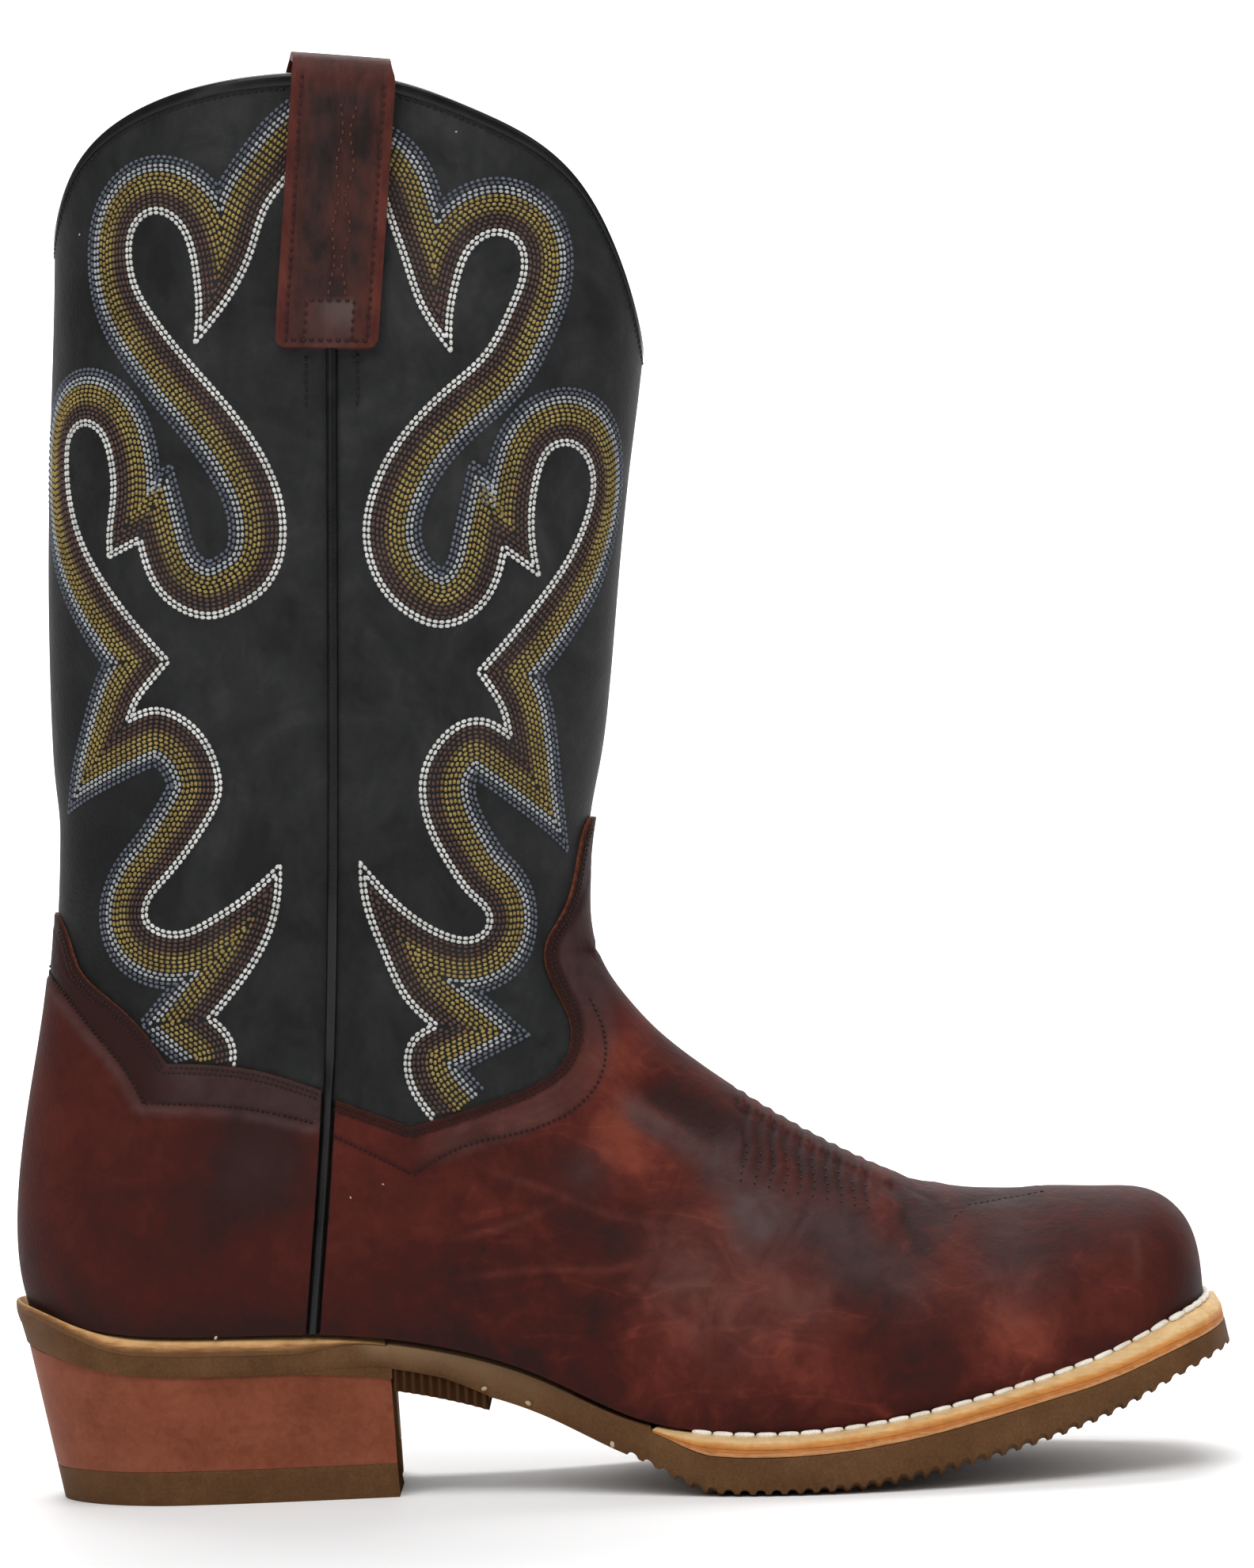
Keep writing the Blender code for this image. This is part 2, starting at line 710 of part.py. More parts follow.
def make_welt(collection, material):
    start = turn_at(WELT_START)
    outer_side = np.linspace(start, 1 - TOE_TURNS, 12)
    toe = np.linspace(1 - TOE_TURNS, 1 + TOE_TURNS, 33)
    inner_side = np.linspace(1 + TOE_TURNS, 2 - start, 12)
    turns = np.concatenate([outer_side, toe[1:], inner_side[1:]])
    return add_object("welt", band_mesh(turns, WELT_REACH, WELT_WALL), material, collection)


def make_rand(collection, material):
    end = turn_at(RAND_END)
    turns = np.mod(np.linspace(-end, end, 33), 2)
    return add_object("heel_rand", band_mesh(turns, WELT_REACH, RAND_WALL), material, collection)


def rebate_depth(x):
    """The welt and the rand lie in rebates of the outsole."""
    under_welt = x > WELT_START - FIT_GAP
    under_rand = x < RAND_END + FIT_GAP
    return under_welt * (WELT_WALL + FIT_GAP) + under_rand * (RAND_WALL + FIT_GAP)


def outsole_top(x):
    return edge_height(x) - FIT_GAP - rebate_depth(x)


def outsole_rim(x):
    """The lower rim of the outsole, with a deeper pad in front of the heel."""
    depth = SOLE_DEPTH_AT_HEEL + (SOLE_DEPTH_AT_BALL - SOLE_DEPTH_AT_HEEL) * ease(0.0, 24.0, x)
    pad = np.interp(x, [HEEL_BREAST, SHANK_PAD_END], [SHANK_PAD_DEPTH, SHANK_PAD_END_DEPTH])
    on_pad = (x > HEEL_BREAST + 0.1) & (x < SHANK_PAD_END + 0.1)
    return edge_height(x) - depth - np.where(on_pad, pad, 0)


def outsole_stations():
    """Places along the sole where its section changes, with how deep the tread is cut at each."""
    heel = SOLE_BACK + SOLE_HEEL_ROUND * (1 - np.cos(np.linspace(0, math.pi / 2, 9)))
    stations = [(x, 0.0) for x in heel]
    stations += [(x, 0.0) for x in np.linspace(-110, -70, 3)]
    for step in (RAND_END, HEEL_BREAST, SHANK_PAD_END):
        stations += [(step, 0.0), (step + 0.25, 0.0)]
    stations += [(x, 0.0) for x in np.linspace(-30.0, RIBS_START - 3.0, 4)]
    rib = RIBS_START
    while rib < SOLE_TIP - 4.5:
        for share, depth in ((0.0, 0), (0.4, 0), (0.7, 1)):
            stations.append((rib + share * RIB_PITCH, depth * RIB_DEPTH))
        rib += RIB_PITCH
    stations += [(WELT_START - 0.5, 0.0), (WELT_START - 0.25, 0.0)]
    stations += [(SOLE_TIP - gap, 0.0) for gap in (3.2, 1.6, 0.6, 0.12, 0.0)]
    return sorted(stations)


def make_outsole(collection, material):
    stations = outsole_stations()
    places = np.array([x for x, _ in stations])
    cuts = np.array([depth for _, depth in stations])
    sides = [-2.0, -1.0, 1.0, 2.0]

    def plan(x, side):
        body = np.where(side < 0, sole_lateral_body(x), sole_medial_body(x))
        share = np.where(np.abs(side) > 1, 1, 1 - RIM_REACH / body)
        return np.sign(side) * share * body * sole_rounding(x)

    def top(row, side):
        x = places[row.astype(int)]
        y = plan(x, side)
        slope = rim_slope(x, y)
        slope = np.where(np.abs(side) > 1, slope, np.maximum(slope, rim_slope(x, 0 * y)))
        return np.stack([x, y, outsole_top(x) - slope], axis=-1)

    def bottom(row, side):
        x = places[row.astype(int)]
        rim = outsole_rim(x)
        tread = np.maximum(rim - BALL_CAMBER * ease(0.0, 20.0, x), 0)
        z = np.where(np.abs(side) > 1, rim, tread) + cuts[row.astype(int)]
        return np.stack([x, plan(x, side), z], axis=-1)

    builder = slab_mesh(np.arange(len(places)), sides, top, bottom)
    return add_object("outsole", builder, material, collection)


def make_insole(collection, material):
    margin = UPPER_WALL + 3 * FIT_GAP
    back, tip = SOLE_BACK + WELT_REACH + 0.6, FRONT_PROFILE[0].x - margin - 0.6
    ends = np.array([0.0, 0.8, 2.6, 5.6, 10.0, 16.0, 23.0])
    breaks = [RAND_END - 0.9, RAND_END - 0.1, WELT_START + 0.1, WELT_START + 0.9]
    places = np.sort(np.concatenate([back + ends, tip - ends, np.linspace(-105, 105, 15), breaks]))

    def plan(x, share):
        ends_rounded = rounded_end(x - back, 24.0, 2) * rounded_end(tip - x, TOE_ROUND, 2.5)
        lateral = np.minimum(sole_lateral_body(x) - WELT_REACH - INSOLE_INSET, last_lateral(x) - margin)
        medial = np.minimum(sole_medial_body(x) - WELT_REACH - INSOLE_INSET, last_medial(x) - margin)
        return share * np.where(share < 0, lateral, medial) * ends_rounded

    def top(x, share):
        return np.stack([x, plan(x, share), edge_height(x) + INSOLE_TOP], axis=-1)

    def bottom(x, share):
        at_waist = (x > RAND_END - 0.5) & (x < WELT_START + 0.5)
        drop = np.where(at_waist, 0, rebate_depth(x))
        return np.stack([x, plan(x, share), edge_height(x) - drop], axis=-1)

    return add_object("insole", slab_mesh(places, [-1.0, 0.0, 1.0], top, bottom), material, collection)


def heel_share(z):
    """How far down the heel a height is: 0 under the outsole, 1 on the floor."""
    return np.clip(1 - z / under_outsole(-100.0), 0, 1)


def heel_plan(x, share, z):
    """The heel narrows, and its back leans forward, towards the floor."""
    down = heel_share(z)
    back = HEEL_BACK + HEEL_UNDERCUT * down
    breast = HEEL_BREAST - BREAST_INSET + BREAST_LEAN * down
    breast = breast - BREAST_HOLLOW * np.sin(math.pi * down) * (1 - share**2)
    along = (x - HEEL_BACK) / (HEEL_BREAST - HEEL_BACK)
    placed = back + along * (breast - back)
    taper = 1 + (HEEL_TAPER - 1) * down
    half = np.where(share < 0, sole_lateral_body(x), sole_medial_body(x)) - HEEL_INSET
    return placed, share * half * taper * rounded_end(placed - back, SOLE_HEEL_ROUND, 2)


def heel_stations():
    quarter = np.linspace(0, math.pi / 2, 9)
    rounded = HEEL_BACK + SOLE_HEEL_ROUND * (1 - np.cos(quarter))
    return np.concatenate([rounded, np.linspace(-110, HEEL_BREAST, 5)])


def heel_layer(name, top_height, bottom_height, collection, material):
    def layer(height):
        def face(x, share):
            z = height(x)
            placed, y = heel_plan(x, share, z)
            return np.stack([placed, y, z], axis=-1)

        return face

    builder = slab_mesh(heel_stations(), [-1.0, 0.0, 1.0], layer(top_height), layer(bottom_height))
    return add_object(name, builder, material, collection)


def under_outsole(x):
    return edge_height(x) - SOLE_DEPTH_AT_HEEL - FIT_GAP


def level_at(height):
    return lambda x: np.full_like(x, height)


def main():
    for leftover in list(bpy.data.objects):
        bpy.data.objects.remove(leftover)
    boot = bpy.data.collections.new("western_boot")
    cutters = bpy.data.collections.new("cutters")
    bpy.context.scene.collection.children.link(boot)
    bpy.context.scene.collection.children.link(cutters)

    shaft_leather = leather("shaft_leather", (0.030, 0.031, 0.034), 0.55)
    vamp_leather = leather("vamp_leather", (0.105, 0.026, 0.018), 0.42)
    piping_leather = leather("piping_leather", (0.008, 0.008, 0.009), 0.4)
    welt_leather = leather("welt_leather", (0.47, 0.22, 0.08), 0.55)
    insole_leather = leather("insole_leather", (0.36, 0.22, 0.12), 0.7)
    sole_rubber = leather("sole_rubber", (0.105, 0.062, 0.033), 0.65)
    heel_leather = leather("heel_leather", (0.20, 0.062, 0.033), 0.5)

    make_upper(boot, shaft_leather)
    make_overlay("vamp", vamp_outline(), boot, cutters, vamp_leather)
    make_overlay("counter", counter_outline(), boot, cutters, vamp_leather)
    for side_name, side in (("outer", -1), ("inner", 1)):
        make_piping("side_piping_" + side_name, side, boot, piping_leather)
        make_pull_strap("pull_strap_" + side_name, side, boot, vamp_leather)
    make_binding(boot, piping_leather)
    make_insole(boot, insole_leather)
    make_welt(boot, welt_leather)
    make_rand(boot, welt_leather)
    make_outsole(boot, sole_rubber)
    heel_layer("heel_block", under_outsole, level_at(HEEL_CAP_HEIGHT + FIT_GAP), boot, heel_leather)
    heel_layer("heel_cap", level_at(HEEL_CAP_HEIGHT), level_at(0.0), boot, sole_rubber)


main()
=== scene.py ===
# Looks of a right western boot. Sizes are in millimetres and meshes in metres.
# X runs from heel to toe, the outer side of the foot is at -Y, and Z is up from the floor.
import json
import math
import bmesh
import bpy
import numpy as np
from mathutils import Matrix, Vector

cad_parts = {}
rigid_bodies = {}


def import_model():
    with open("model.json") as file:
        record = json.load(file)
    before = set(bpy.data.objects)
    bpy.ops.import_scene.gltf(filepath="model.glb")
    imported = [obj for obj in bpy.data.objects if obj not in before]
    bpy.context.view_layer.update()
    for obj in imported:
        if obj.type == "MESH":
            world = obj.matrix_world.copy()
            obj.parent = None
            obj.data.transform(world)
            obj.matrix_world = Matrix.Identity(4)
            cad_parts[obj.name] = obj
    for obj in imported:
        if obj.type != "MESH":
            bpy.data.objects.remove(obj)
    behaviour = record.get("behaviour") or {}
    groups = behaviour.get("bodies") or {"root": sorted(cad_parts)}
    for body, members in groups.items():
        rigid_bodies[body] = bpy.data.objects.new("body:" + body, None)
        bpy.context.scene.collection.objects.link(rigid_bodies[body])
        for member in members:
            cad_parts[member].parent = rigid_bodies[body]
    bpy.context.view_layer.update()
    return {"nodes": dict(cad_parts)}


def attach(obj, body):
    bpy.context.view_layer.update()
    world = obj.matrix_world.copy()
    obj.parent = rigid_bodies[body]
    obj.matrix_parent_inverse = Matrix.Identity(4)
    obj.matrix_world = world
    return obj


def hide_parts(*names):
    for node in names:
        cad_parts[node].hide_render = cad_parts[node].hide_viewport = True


for leftover in list(bpy.data.objects):
    bpy.data.objects.remove(leftover)
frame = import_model()
mm = 0.001
outerSide, innerSide = -1, 1
sideNames = {outerSide: "outer", innerSide: "inner"}
print("frame loaded with", len(frame["nodes"]), "nodes")

# The last and the shaft, the same sizes that the solids are made from
last = {
    "frontProfile": [  # x, z up the toe, the instep and the shaft
        (146.0, 41.4), (145.7, 50.5), (143.0, 59.8), (136.0, 66.0), (124.0, 67.6),
        (110.0, 68.2), (96.0, 68.2), (79.5, 70.2), (60.3, 78.0), (45.3, 86.4),
        (32.6, 94.6), (18.6, 104.8), (9.8, 112.4), (2.6, 120.6), (-3.6, 130.2),
        (-6.4, 140.5), (-6.4, 151.0), (-4.8, 165.0), (-1.6, 180.0), (1.0, 196.0),
        (5.0, 228.0), (9.2, 259.0), (13.4, 287.0), (15.8, 320.0), (17.0, 357.0),
    ],
    "backProfile": [  # x, z up the heel and the shaft
        (-149.8, 48.3), (-151.6, 56.0), (-152.4, 67.0), (-150.9, 86.0), (-147.8, 104.0),
        (-144.2, 121.0), (-141.0, 142.0), (-140.2, 160.0), (-140.6, 180.0), (-141.0, 205.0),
        (-140.4, 235.0), (-138.4, 272.0), (-136.0, 315.0), (-134.8, 357.0),
    ],
    "stations": [  # x, lower edge z, outer half width, inner half width, boxiness
        (-155.0, 49.5, 27.0, 26.5, 1.7), (-128.0, 43.4, 30.5, 29.5, 1.7),
        (-100.0, 41.8, 31.5, 30.0, 1.7), (-70.0, 40.9, 31.0, 29.0, 1.7),
        (-45.0, 37.0, 31.0, 27.5, 1.7), (-20.0, 29.0, 34.5, 28.5, 1.75),
        (3.0, 18.6, 40.5, 33.0, 1.85), (25.0, 15.0, 45.5, 40.0, 2.0),
        (48.0, 15.3, 48.0, 45.5, 2.1), (72.0, 18.4, 46.5, 47.5, 2.3),
        (98.0, 24.2, 41.5, 46.0, 2.7), (120.0, 30.9, 36.0, 42.0, 3.1),
        (140.0, 38.8, 31.0, 38.0, 3.4), (157.0, 43.6, 27.5, 35.0, 3.4),
    ],
    "shaft": [  # z, half width
        (40.0, 34.0), (75.0, 35.5), (110.0, 36.0), (150.0, 37.5),
        (200.0, 40.0), (250.0, 42.5), (300.0, 44.0), (360.0, 44.5),
    ],
    "collar": [  # share of the way from back to front, z
        (-0.12, 333.0), (0.0, 318.5), (0.12, 333.0), (0.255, 347.5), (0.45, 354.3), (0.55, 351.8),
        (0.64, 344.3), (0.785, 325.7), (0.9, 298.6), (1.0, 286.4), (1.1, 298.6),
    ],
    "sideSeam": [(-78.0, 41.0), (-72.0, 101.0), (-67.3, 190.0), (-64.0, 288.0), (-61.5, 357.0)],  # x, z
    "frontRows": [  # how far up the front each even step of level lies
        0, 0.03, 0.06, 0.096, 0.144, 0.23, 0.335, 0.445, 0.545, 0.64, 0.722, 0.794, 0.861, 0.928, 1,
    ],
    "wall": 2.4, "gap": 0.3, "ankle": 150.0, "collarPeak": 354.3,
    "shaftRoundness": 2.15, "blendFrom": 72.0, "blendTo": 152.0,
    "heelRound": 31.0, "toeRound": 20.0, "toeSquareness": 2.4,
    "ridgeSkew": 3.0, "sideBulge": 0.04, "toeBoxBack": 90.0, "throatSetback": 6.0, "ridgeSlope": 1.25,
}


def naturalSpline(knots, values):
    knots, values = np.asarray(knots, float), np.asarray(values, float)
    count = len(knots)
    widths = np.diff(knots)
    slopes = np.diff(values) / widths
    system, right = np.eye(count), np.zeros(count)
    for i in range(1, count - 1):
        system[i, i - 1 : i + 2] = widths[i - 1], 2 * (widths[i - 1] + widths[i]), widths[i]
        right[i] = 6 * (slopes[i] - slopes[i - 1])
    bends = np.linalg.solve(system, right)
    firstSlope = slopes[0] - widths[0] * bends[1] / 6
    lastSlope = slopes[-1] + widths[-1] * bends[-2] / 6

    def curve(at):
        at = np.asarray(at, float)
        held = np.clip(at, knots[0], knots[-1])
        i = np.clip(np.searchsorted(knots, held) - 1, 0, count - 2)
        after, before, width = held - knots[i], knots[i + 1] - held, widths[i]
        inside = (bends[i] * before**3 + bends[i + 1] * after**3) / (6 * width)
        inside = inside + (values[i] / width - bends[i] * width / 6) * before
        inside = inside + (values[i + 1] / width - bends[i + 1] * width / 6) * after
        inside = inside + np.minimum(at - knots[0], 0) * firstSlope  # straight beyond both ends
        return inside + np.maximum(at - knots[-1], 0) * lastSlope

    return curve


def pathThrough(points, steps):
    xs, zs = np.array(points, float).T
    reach = np.concatenate([[0], np.cumsum(np.hypot(np.diff(xs), np.diff(zs)))])
    at = np.linspace(0, reach[-1], steps)
    return naturalSpline(reach, xs)(at), naturalSpline(reach, zs)(at)


def ease(low, high, value):
    share = np.clip((value - low) / (high - low), 0, 1)
    return share * share * (3 - 2 * share)


def hump(distance, width):
    return np.exp(-((distance / width) ** 2))


def unit(vectors):
    return vectors / np.linalg.norm(vectors, axis=-1, keepdims=True)


def splineOf(table, key, value):
    columns = np.array(table, float).T
    return naturalSpline(columns[key], columns[value])


profileSteps = 800
frontX, frontZ = pathThrough(last["frontProfile"], profileSteps)
backX, backZ = pathThrough(last["backProfile"], profileSteps)
throat = int(np.argmin(frontX))
rising = int(np.argmax(frontX < last["toeBoxBack"]))
edgeHeight = splineOf(last["stations"], 0, 1)
lastOuter = splineOf(last["stations"], 0, 2)
lastInner = splineOf(last["stations"], 0, 3)
boxiness = splineOf(last["stations"], 0, 4)
shaftHalfWidth = splineOf(last["shaft"], 0, 1)
collarHeight = splineOf(last["collar"], 0, 1)
seamX = splineOf(last["sideSeam"], 1, 0)
ankleRow = int(np.argmin(np.abs(backZ - last["ankle"])))
throatRow = rising + int(np.argmin(np.abs(frontZ[rising:] - last["ankle"])))
evenLevels = np.linspace(0, 1, len(last["frontRows"]))


def frontEdge(z):
    return np.interp(z, frontZ[rising:], frontX[rising:])


def backEdge(z):
    return np.interp(z, backZ, backX)


def acrossShaft(run, z):
    return backEdge(z) + run * (frontEdge(z) - backEdge(z))


def ridgeHeight(x):
    throatX = frontX[throat] + last["throatSetback"]
    onFoot = np.interp(np.maximum(x, throatX), frontX[throat::-1], frontZ[throat::-1])
    return onFoot + np.maximum(throatX - x, 0) * last["ridgeSlope"]


def roundedEnd(distance, radius, power):
    inward = np.clip(1 - distance / radius, 0, 1)
    return np.maximum(1 - inward**power, 0) ** (1 / power)


def upperHalfWidth(x, z):
    low = edgeHeight(x)
    rise = np.clip((z - low) / np.maximum(ridgeHeight(x) - low, 1e-6), 0, 1)
    outer, inner = lastOuter(x), lastInner(x)
    foot = (outer + inner) / 2 * np.sqrt(1 - rise ** boxiness(x))
    foot = foot * (1 + last["sideBulge"] * np.sin(math.pi * np.sqrt(rise)) ** 2)
    foot = foot * roundedEnd(x - backEdge(z), last["heelRound"], 2)
    foot = foot * roundedEnd(last["frontProfile"][0][0] - x, last["toeRound"], last["toeSquareness"])
    back, front = backEdge(z), frontEdge(z)
    share = np.clip((x - back) / (front - back), 0, 1)
    shaft = shaftHalfWidth(z) * np.sqrt(1 - np.abs(2 * share - 1) ** last["shaftRoundness"])
    blend = ease(last["blendFrom"], last["blendTo"], z)
    middle = ((inner - outer) / 2 + last["ridgeSkew"] * rise) * (1 - blend)
    return foot * (1 - blend) + shaft * blend, middle


def sideFace(x, z, side, out=0.0):
    # the upper's face at places in the side view
    half, middle = upperHalfWidth(x, z)
    return np.stack([x, middle + side * (half + out), z], axis=-1)


def runOf(turn):
    return (1 - np.cos(math.pi * turn)) / 2


def sidePlace(turn, level):
    # turn 0 to 1 goes from back to front, level 0 to 1 up the foot and 1 to 2 up the shaft
    run, low, ankle = runOf(turn), np.clip(level, 0, 1), last["ankle"]
    ankleBack, ankleFront = backEdge(ankle), frontEdge(ankle)
    rows = np.arange(profileSteps)
    frontAt = np.interp(low, evenLevels, last["frontRows"]) * throatRow
    back = [np.interp(low * ankleRow, rows, backX), np.interp(low * ankleRow, rows, backZ)]
    front = [np.interp(frontAt, rows, frontX), np.interp(frontAt, rows, frontZ)]
    edgeX = backX[0] + run * (frontX[0] - backX[0])
    edgeZ = edgeHeight(edgeX) + (backZ[0] - edgeHeight(backX[0])) * (1 - run)
    edge = [edgeX, edgeZ + (frontZ[0] - edgeHeight(frontX[0])) * run]
    top = [ankleBack + run * (ankleFront - ankleBack), np.full_like(run, ankle)]
    corners = [(backX[0], frontX[0], ankleBack, ankleFront), (backZ[0], frontZ[0], ankle, ankle)]
    place = []
    for i in range(2):
        heel, toe, ankleHeel, ankleToe = corners[i]
        row = (1 - low) * edge[i] + low * top[i] + (1 - run) * back[i] + run * front[i]
        row = row - (1 - low) * ((1 - run) * heel + run * toe)
        place.append(row - low * ((1 - run) * ankleHeel + run * ankleToe))
    shaftZ = ankle + (level - 1) * (collarHeight(turn) - ankle)
    return np.where(level > 1, acrossShaft(run, shaftZ), place[0]), np.where(level > 1, shaftZ, place[1])


def upperSurface(around, level):
    # around 0 to 1 goes along the outer side to the front, 1 to 2 back along the inner side
    turn = np.where(around <= 1, around, 2 - around)
    x, z = sidePlace(turn, level)
    half, middle = upperHalfWidth(x, z)
    half = np.where((turn <= 0) | (turn >= 1), 0, half)
    return np.stack([x, middle + np.where(around <= 1, -half, half), z], axis=-1)


# Mesh helpers
def gridNormals(points, ring=False):
    normals = np.cross(np.gradient(points, axis=1), np.gradient(points, axis=0))
    if ring:  # the first and last columns are the same line
        shared = normals[:, 0] + normals[:, -1]
        normals[:, 0] = normals[:, -1] = shared
    return normals / np.maximum(np.linalg.norm(normals, axis=-1, keepdims=True), 1e-9)


def sheetBuilder(points, floats=None):
    rows, columns = points.shape[:2]
    builder = bmesh.new()
    bmesh.ops.create_grid(builder, x_segments=columns - 1, y_segments=rows - 1, size=0.5)
    layers = {name: builder.verts.layers.float.new(name) for name in floats or {}}
    for vertex in builder.verts:
        place = round((vertex.co.y + 0.5) * (rows - 1)), round((vertex.co.x + 0.5) * (columns - 1))
        vertex.co = points[place] * mm
        for name, layer in layers.items():
            vertex[layer] = floats[name][place]
    bmesh.ops.remove_doubles(builder, verts=builder.verts, dist=0.004 * mm)
    return builder


def loopBuilder(sections, ring=False, floats=None):
    # closed sections joined along their rows, with the two ends capped unless they meet
    closed = np.concatenate([sections, sections[:, :1]], axis=1)
    if ring:
        closed = np.concatenate([closed, closed[:1]])
    if floats:
        floats = {name: np.concatenate([value, value[:, :1]], axis=1) for name, value in floats.items()}
    builder = sheetBuilder(closed, floats)
    if not ring:
        openEdges = [edge for edge in builder.edges if edge.is_boundary]
        bmesh.ops.holes_fill(builder, edges=openEdges, sides=0)
    bmesh.ops.recalc_face_normals(builder, faces=builder.faces)
    return builder


def placePiece(name, mesh, materials):
    mesh.shade_smooth()
    for material in materials:
        mesh.materials.append(material)
    piece = bpy.data.objects.new(name, mesh)
    bpy.context.scene.collection.objects.link(piece)
    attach(piece, "root")
    return piece


def finishPiece(name, builder, materials, replaced, smoothAngle):
    mesh = bpy.data.meshes.new(name)
    builder.to_mesh(mesh)
    builder.free()
    piece = placePiece(name, mesh, materials)
    mesh.set_sharp_from_angle(angle=math.radians(smoothAngle))
    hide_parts(*replaced)
    return piece


def addWall(piece, wall, offset, inside=0):
    solidify = piece.modifiers.new("wall", "SOLIDIFY")
    solidify.thickness = wall * mm
    solidify.offset = offset
    solidify.material_offset = inside


def withRim(points, normals, depth):
    # one more row and column all round a sheet, turned down to what it lies on
    around = ((1, 1), (1, 1), (0, 0))
    padded, down = np.pad(points, around, mode="edge"), np.pad(normals, around, mode="edge") * depth
    rim = np.ones(padded.shape[:2])
    rim[1:-1, 1:-1] = 0
    return padded - down * rim[..., None], rim


# Material helpers
def addNode(tree, kind, values=None, **settings):
    made = tree.nodes.new("ShaderNode" + kind)
    for name, value in settings.items():
        setattr(made, name, value)
    for key, value in (values or {}).items():
        if isinstance(value, bpy.types.NodeSocket):
            tree.links.new(value, made.inputs[key])
        else:
            made.inputs[key].default_value = value
    return made


def newMaterial(name, roughness, specular=0.5):
    material = bpy.data.materials.new(name)
    material.use_nodes = True
    tree = material.node_tree
    shader = tree.nodes["Principled BSDF"]
    shader.inputs["Roughness"].default_value = roughness
    shader.inputs["Specular IOR Level"].default_value = specular
    where = addNode(tree, "TexCoord").outputs["Object"]
    return material, tree, shader, where


def noiseAt(tree, where, scale, detail=4.0, roughness=0.55, distortion=0.0, stretch=None):
    if stretch:
        where = addNode(tree, "Mapping", {"Vector": where, "Scale": stretch}).outputs["Vector"]
    values = {"Vector": where, "Scale": scale, "Detail": detail}
    values.update({"Roughness": roughness, "Distortion": distortion})
    return addNode(tree, "TexNoise", values).outputs["Fac"]


def mathOf(tree, operation, *values, clamp=False):
    return addNode(tree, "Math", dict(enumerate(values)), operation=operation, use_clamp=clamp).outputs[0]


def weighted(tree, first, share, second, otherShare):
    second = mathOf(tree, "MULTIPLY", second, otherShare)
    return mathOf(tree, "ADD", mathOf(tree, "MULTIPLY", first, share), second)


def mapOf(tree, value, start, end, low, high):
    # value from start to end becomes low to high
    values = {"Value": value, "From Min": start, "From Max": end, "To Min": low, "To Max": high}
    return addNode(tree, "MapRange", values).outputs["Result"]


def rampOf(tree, factor, stops):
    ramp = addNode(tree, "ValToRGB", {"Fac": factor})
    while len(ramp.color_ramp.elements) < len(stops):
        ramp.color_ramp.elements.new(0.5)
    for element, (place, colour) in zip(ramp.color_ramp.elements, stops):
        element.position = place
        element.color = (*colour, 1)
    return ramp.outputs["Color"]


def mixOf(tree, factor, first, second, blend="MIX"):
    if isinstance(second, tuple):
        second = (*second, 1)
    values = {0: factor, 6: first, 7: second}  # the node's colour sockets
    return addNode(tree, "Mix", values, data_type="RGBA", blend_type=blend).outputs[2]


def attributeOf(tree, name):
    return addNode(tree, "Attribute", attribute_name=name).outputs["Fac"]


def addBump(tree, shader, height, distance, strength=1.0):
    bump = addNode(tree, "Bump", {"Height": height, "Distance": distance * mm, "Strength": strength})
    tree.links.new(bump.outputs["Normal"], shader.inputs["Normal"])


def setColour(tree, shader, colour):
    tree.links.new(colour, shader.inputs["Base Color"])


def setRoughness(tree, shader, source, low, high):
    tree.links.new(mapOf(tree, source, 0.0, 1.0, low, high), shader.inputs["Roughness"])


poreScale = 2600.0


def leatherGrain(tree, where, pebble=900.0):
    # pebbles from cells, with finer pores over them
    cells = addNode(tree, "TexVoronoi", {"Vector": where, "Scale": pebble}).outputs["Distance"]
    return weighted(tree, cells, 0.6, noiseAt(tree, where, poreScale, 3.0, 0.6), 0.7)


def shaftLeather():
    # painted shade: darker towards the foot and round the back
    material, tree, shader, where = newMaterial("shaft_leather_black", 0.55, specular=0.16)
    cloud = noiseAt(tree, where, 30.0, 8.0, 0.66, 0.9)
    streak = noiseAt(tree, where, 150.0, 6.0, 0.68, 0.5, stretch=(1.0, 1.0, 0.6))
    place = addNode(tree, "SeparateXYZ", {0: where}).outputs
    tone = weighted(tree, cloud, 0.62, streak, 0.38)
    # painted shade near the floor and along the back edge
    tone = mathOf(tree, "ADD", tone, mapOf(tree, place["Z"], 0.1, 0.26, -0.06, 0.0))
    tone = mathOf(tree, "ADD", tone, mapOf(tree, place["X"], -0.142, -0.095, -0.11, 0.0))
    stops = [(0.36, (0.007, 0.0072, 0.0076)), (0.5, (0.0152, 0.0157, 0.0164)),
             (0.66, (0.031, 0.0313, 0.032))]
    setColour(tree, shader, rampOf(tree, tone, stops))
    setRoughness(tree, shader, streak, 0.45, 0.7)
    wrinkles = noiseAt(tree, where, 240.0, 5.0, 0.6, 1.2, stretch=(0.7, 0.7, 1.4))
    grain = mathOf(tree, "MULTIPLY_ADD", wrinkles, 0.9, leatherGrain(tree, where))
    addBump(tree, shader, grain, 0.2, 0.6)
    return material


def liningLeather():
    material, tree, shader, where = newMaterial("lining_leather", 0.75, specular=0.25)
    cloud = noiseAt(tree, where, 30.0, 5.0, 0.6)
    stops = [(0.35, (0.23, 0.135, 0.075)), (0.65, (0.36, 0.235, 0.145))]
    setColour(tree, shader, rampOf(tree, cloud, stops))
    addBump(tree, shader, leatherGrain(tree, where, 700.0), 0.2, 0.6)
    return material


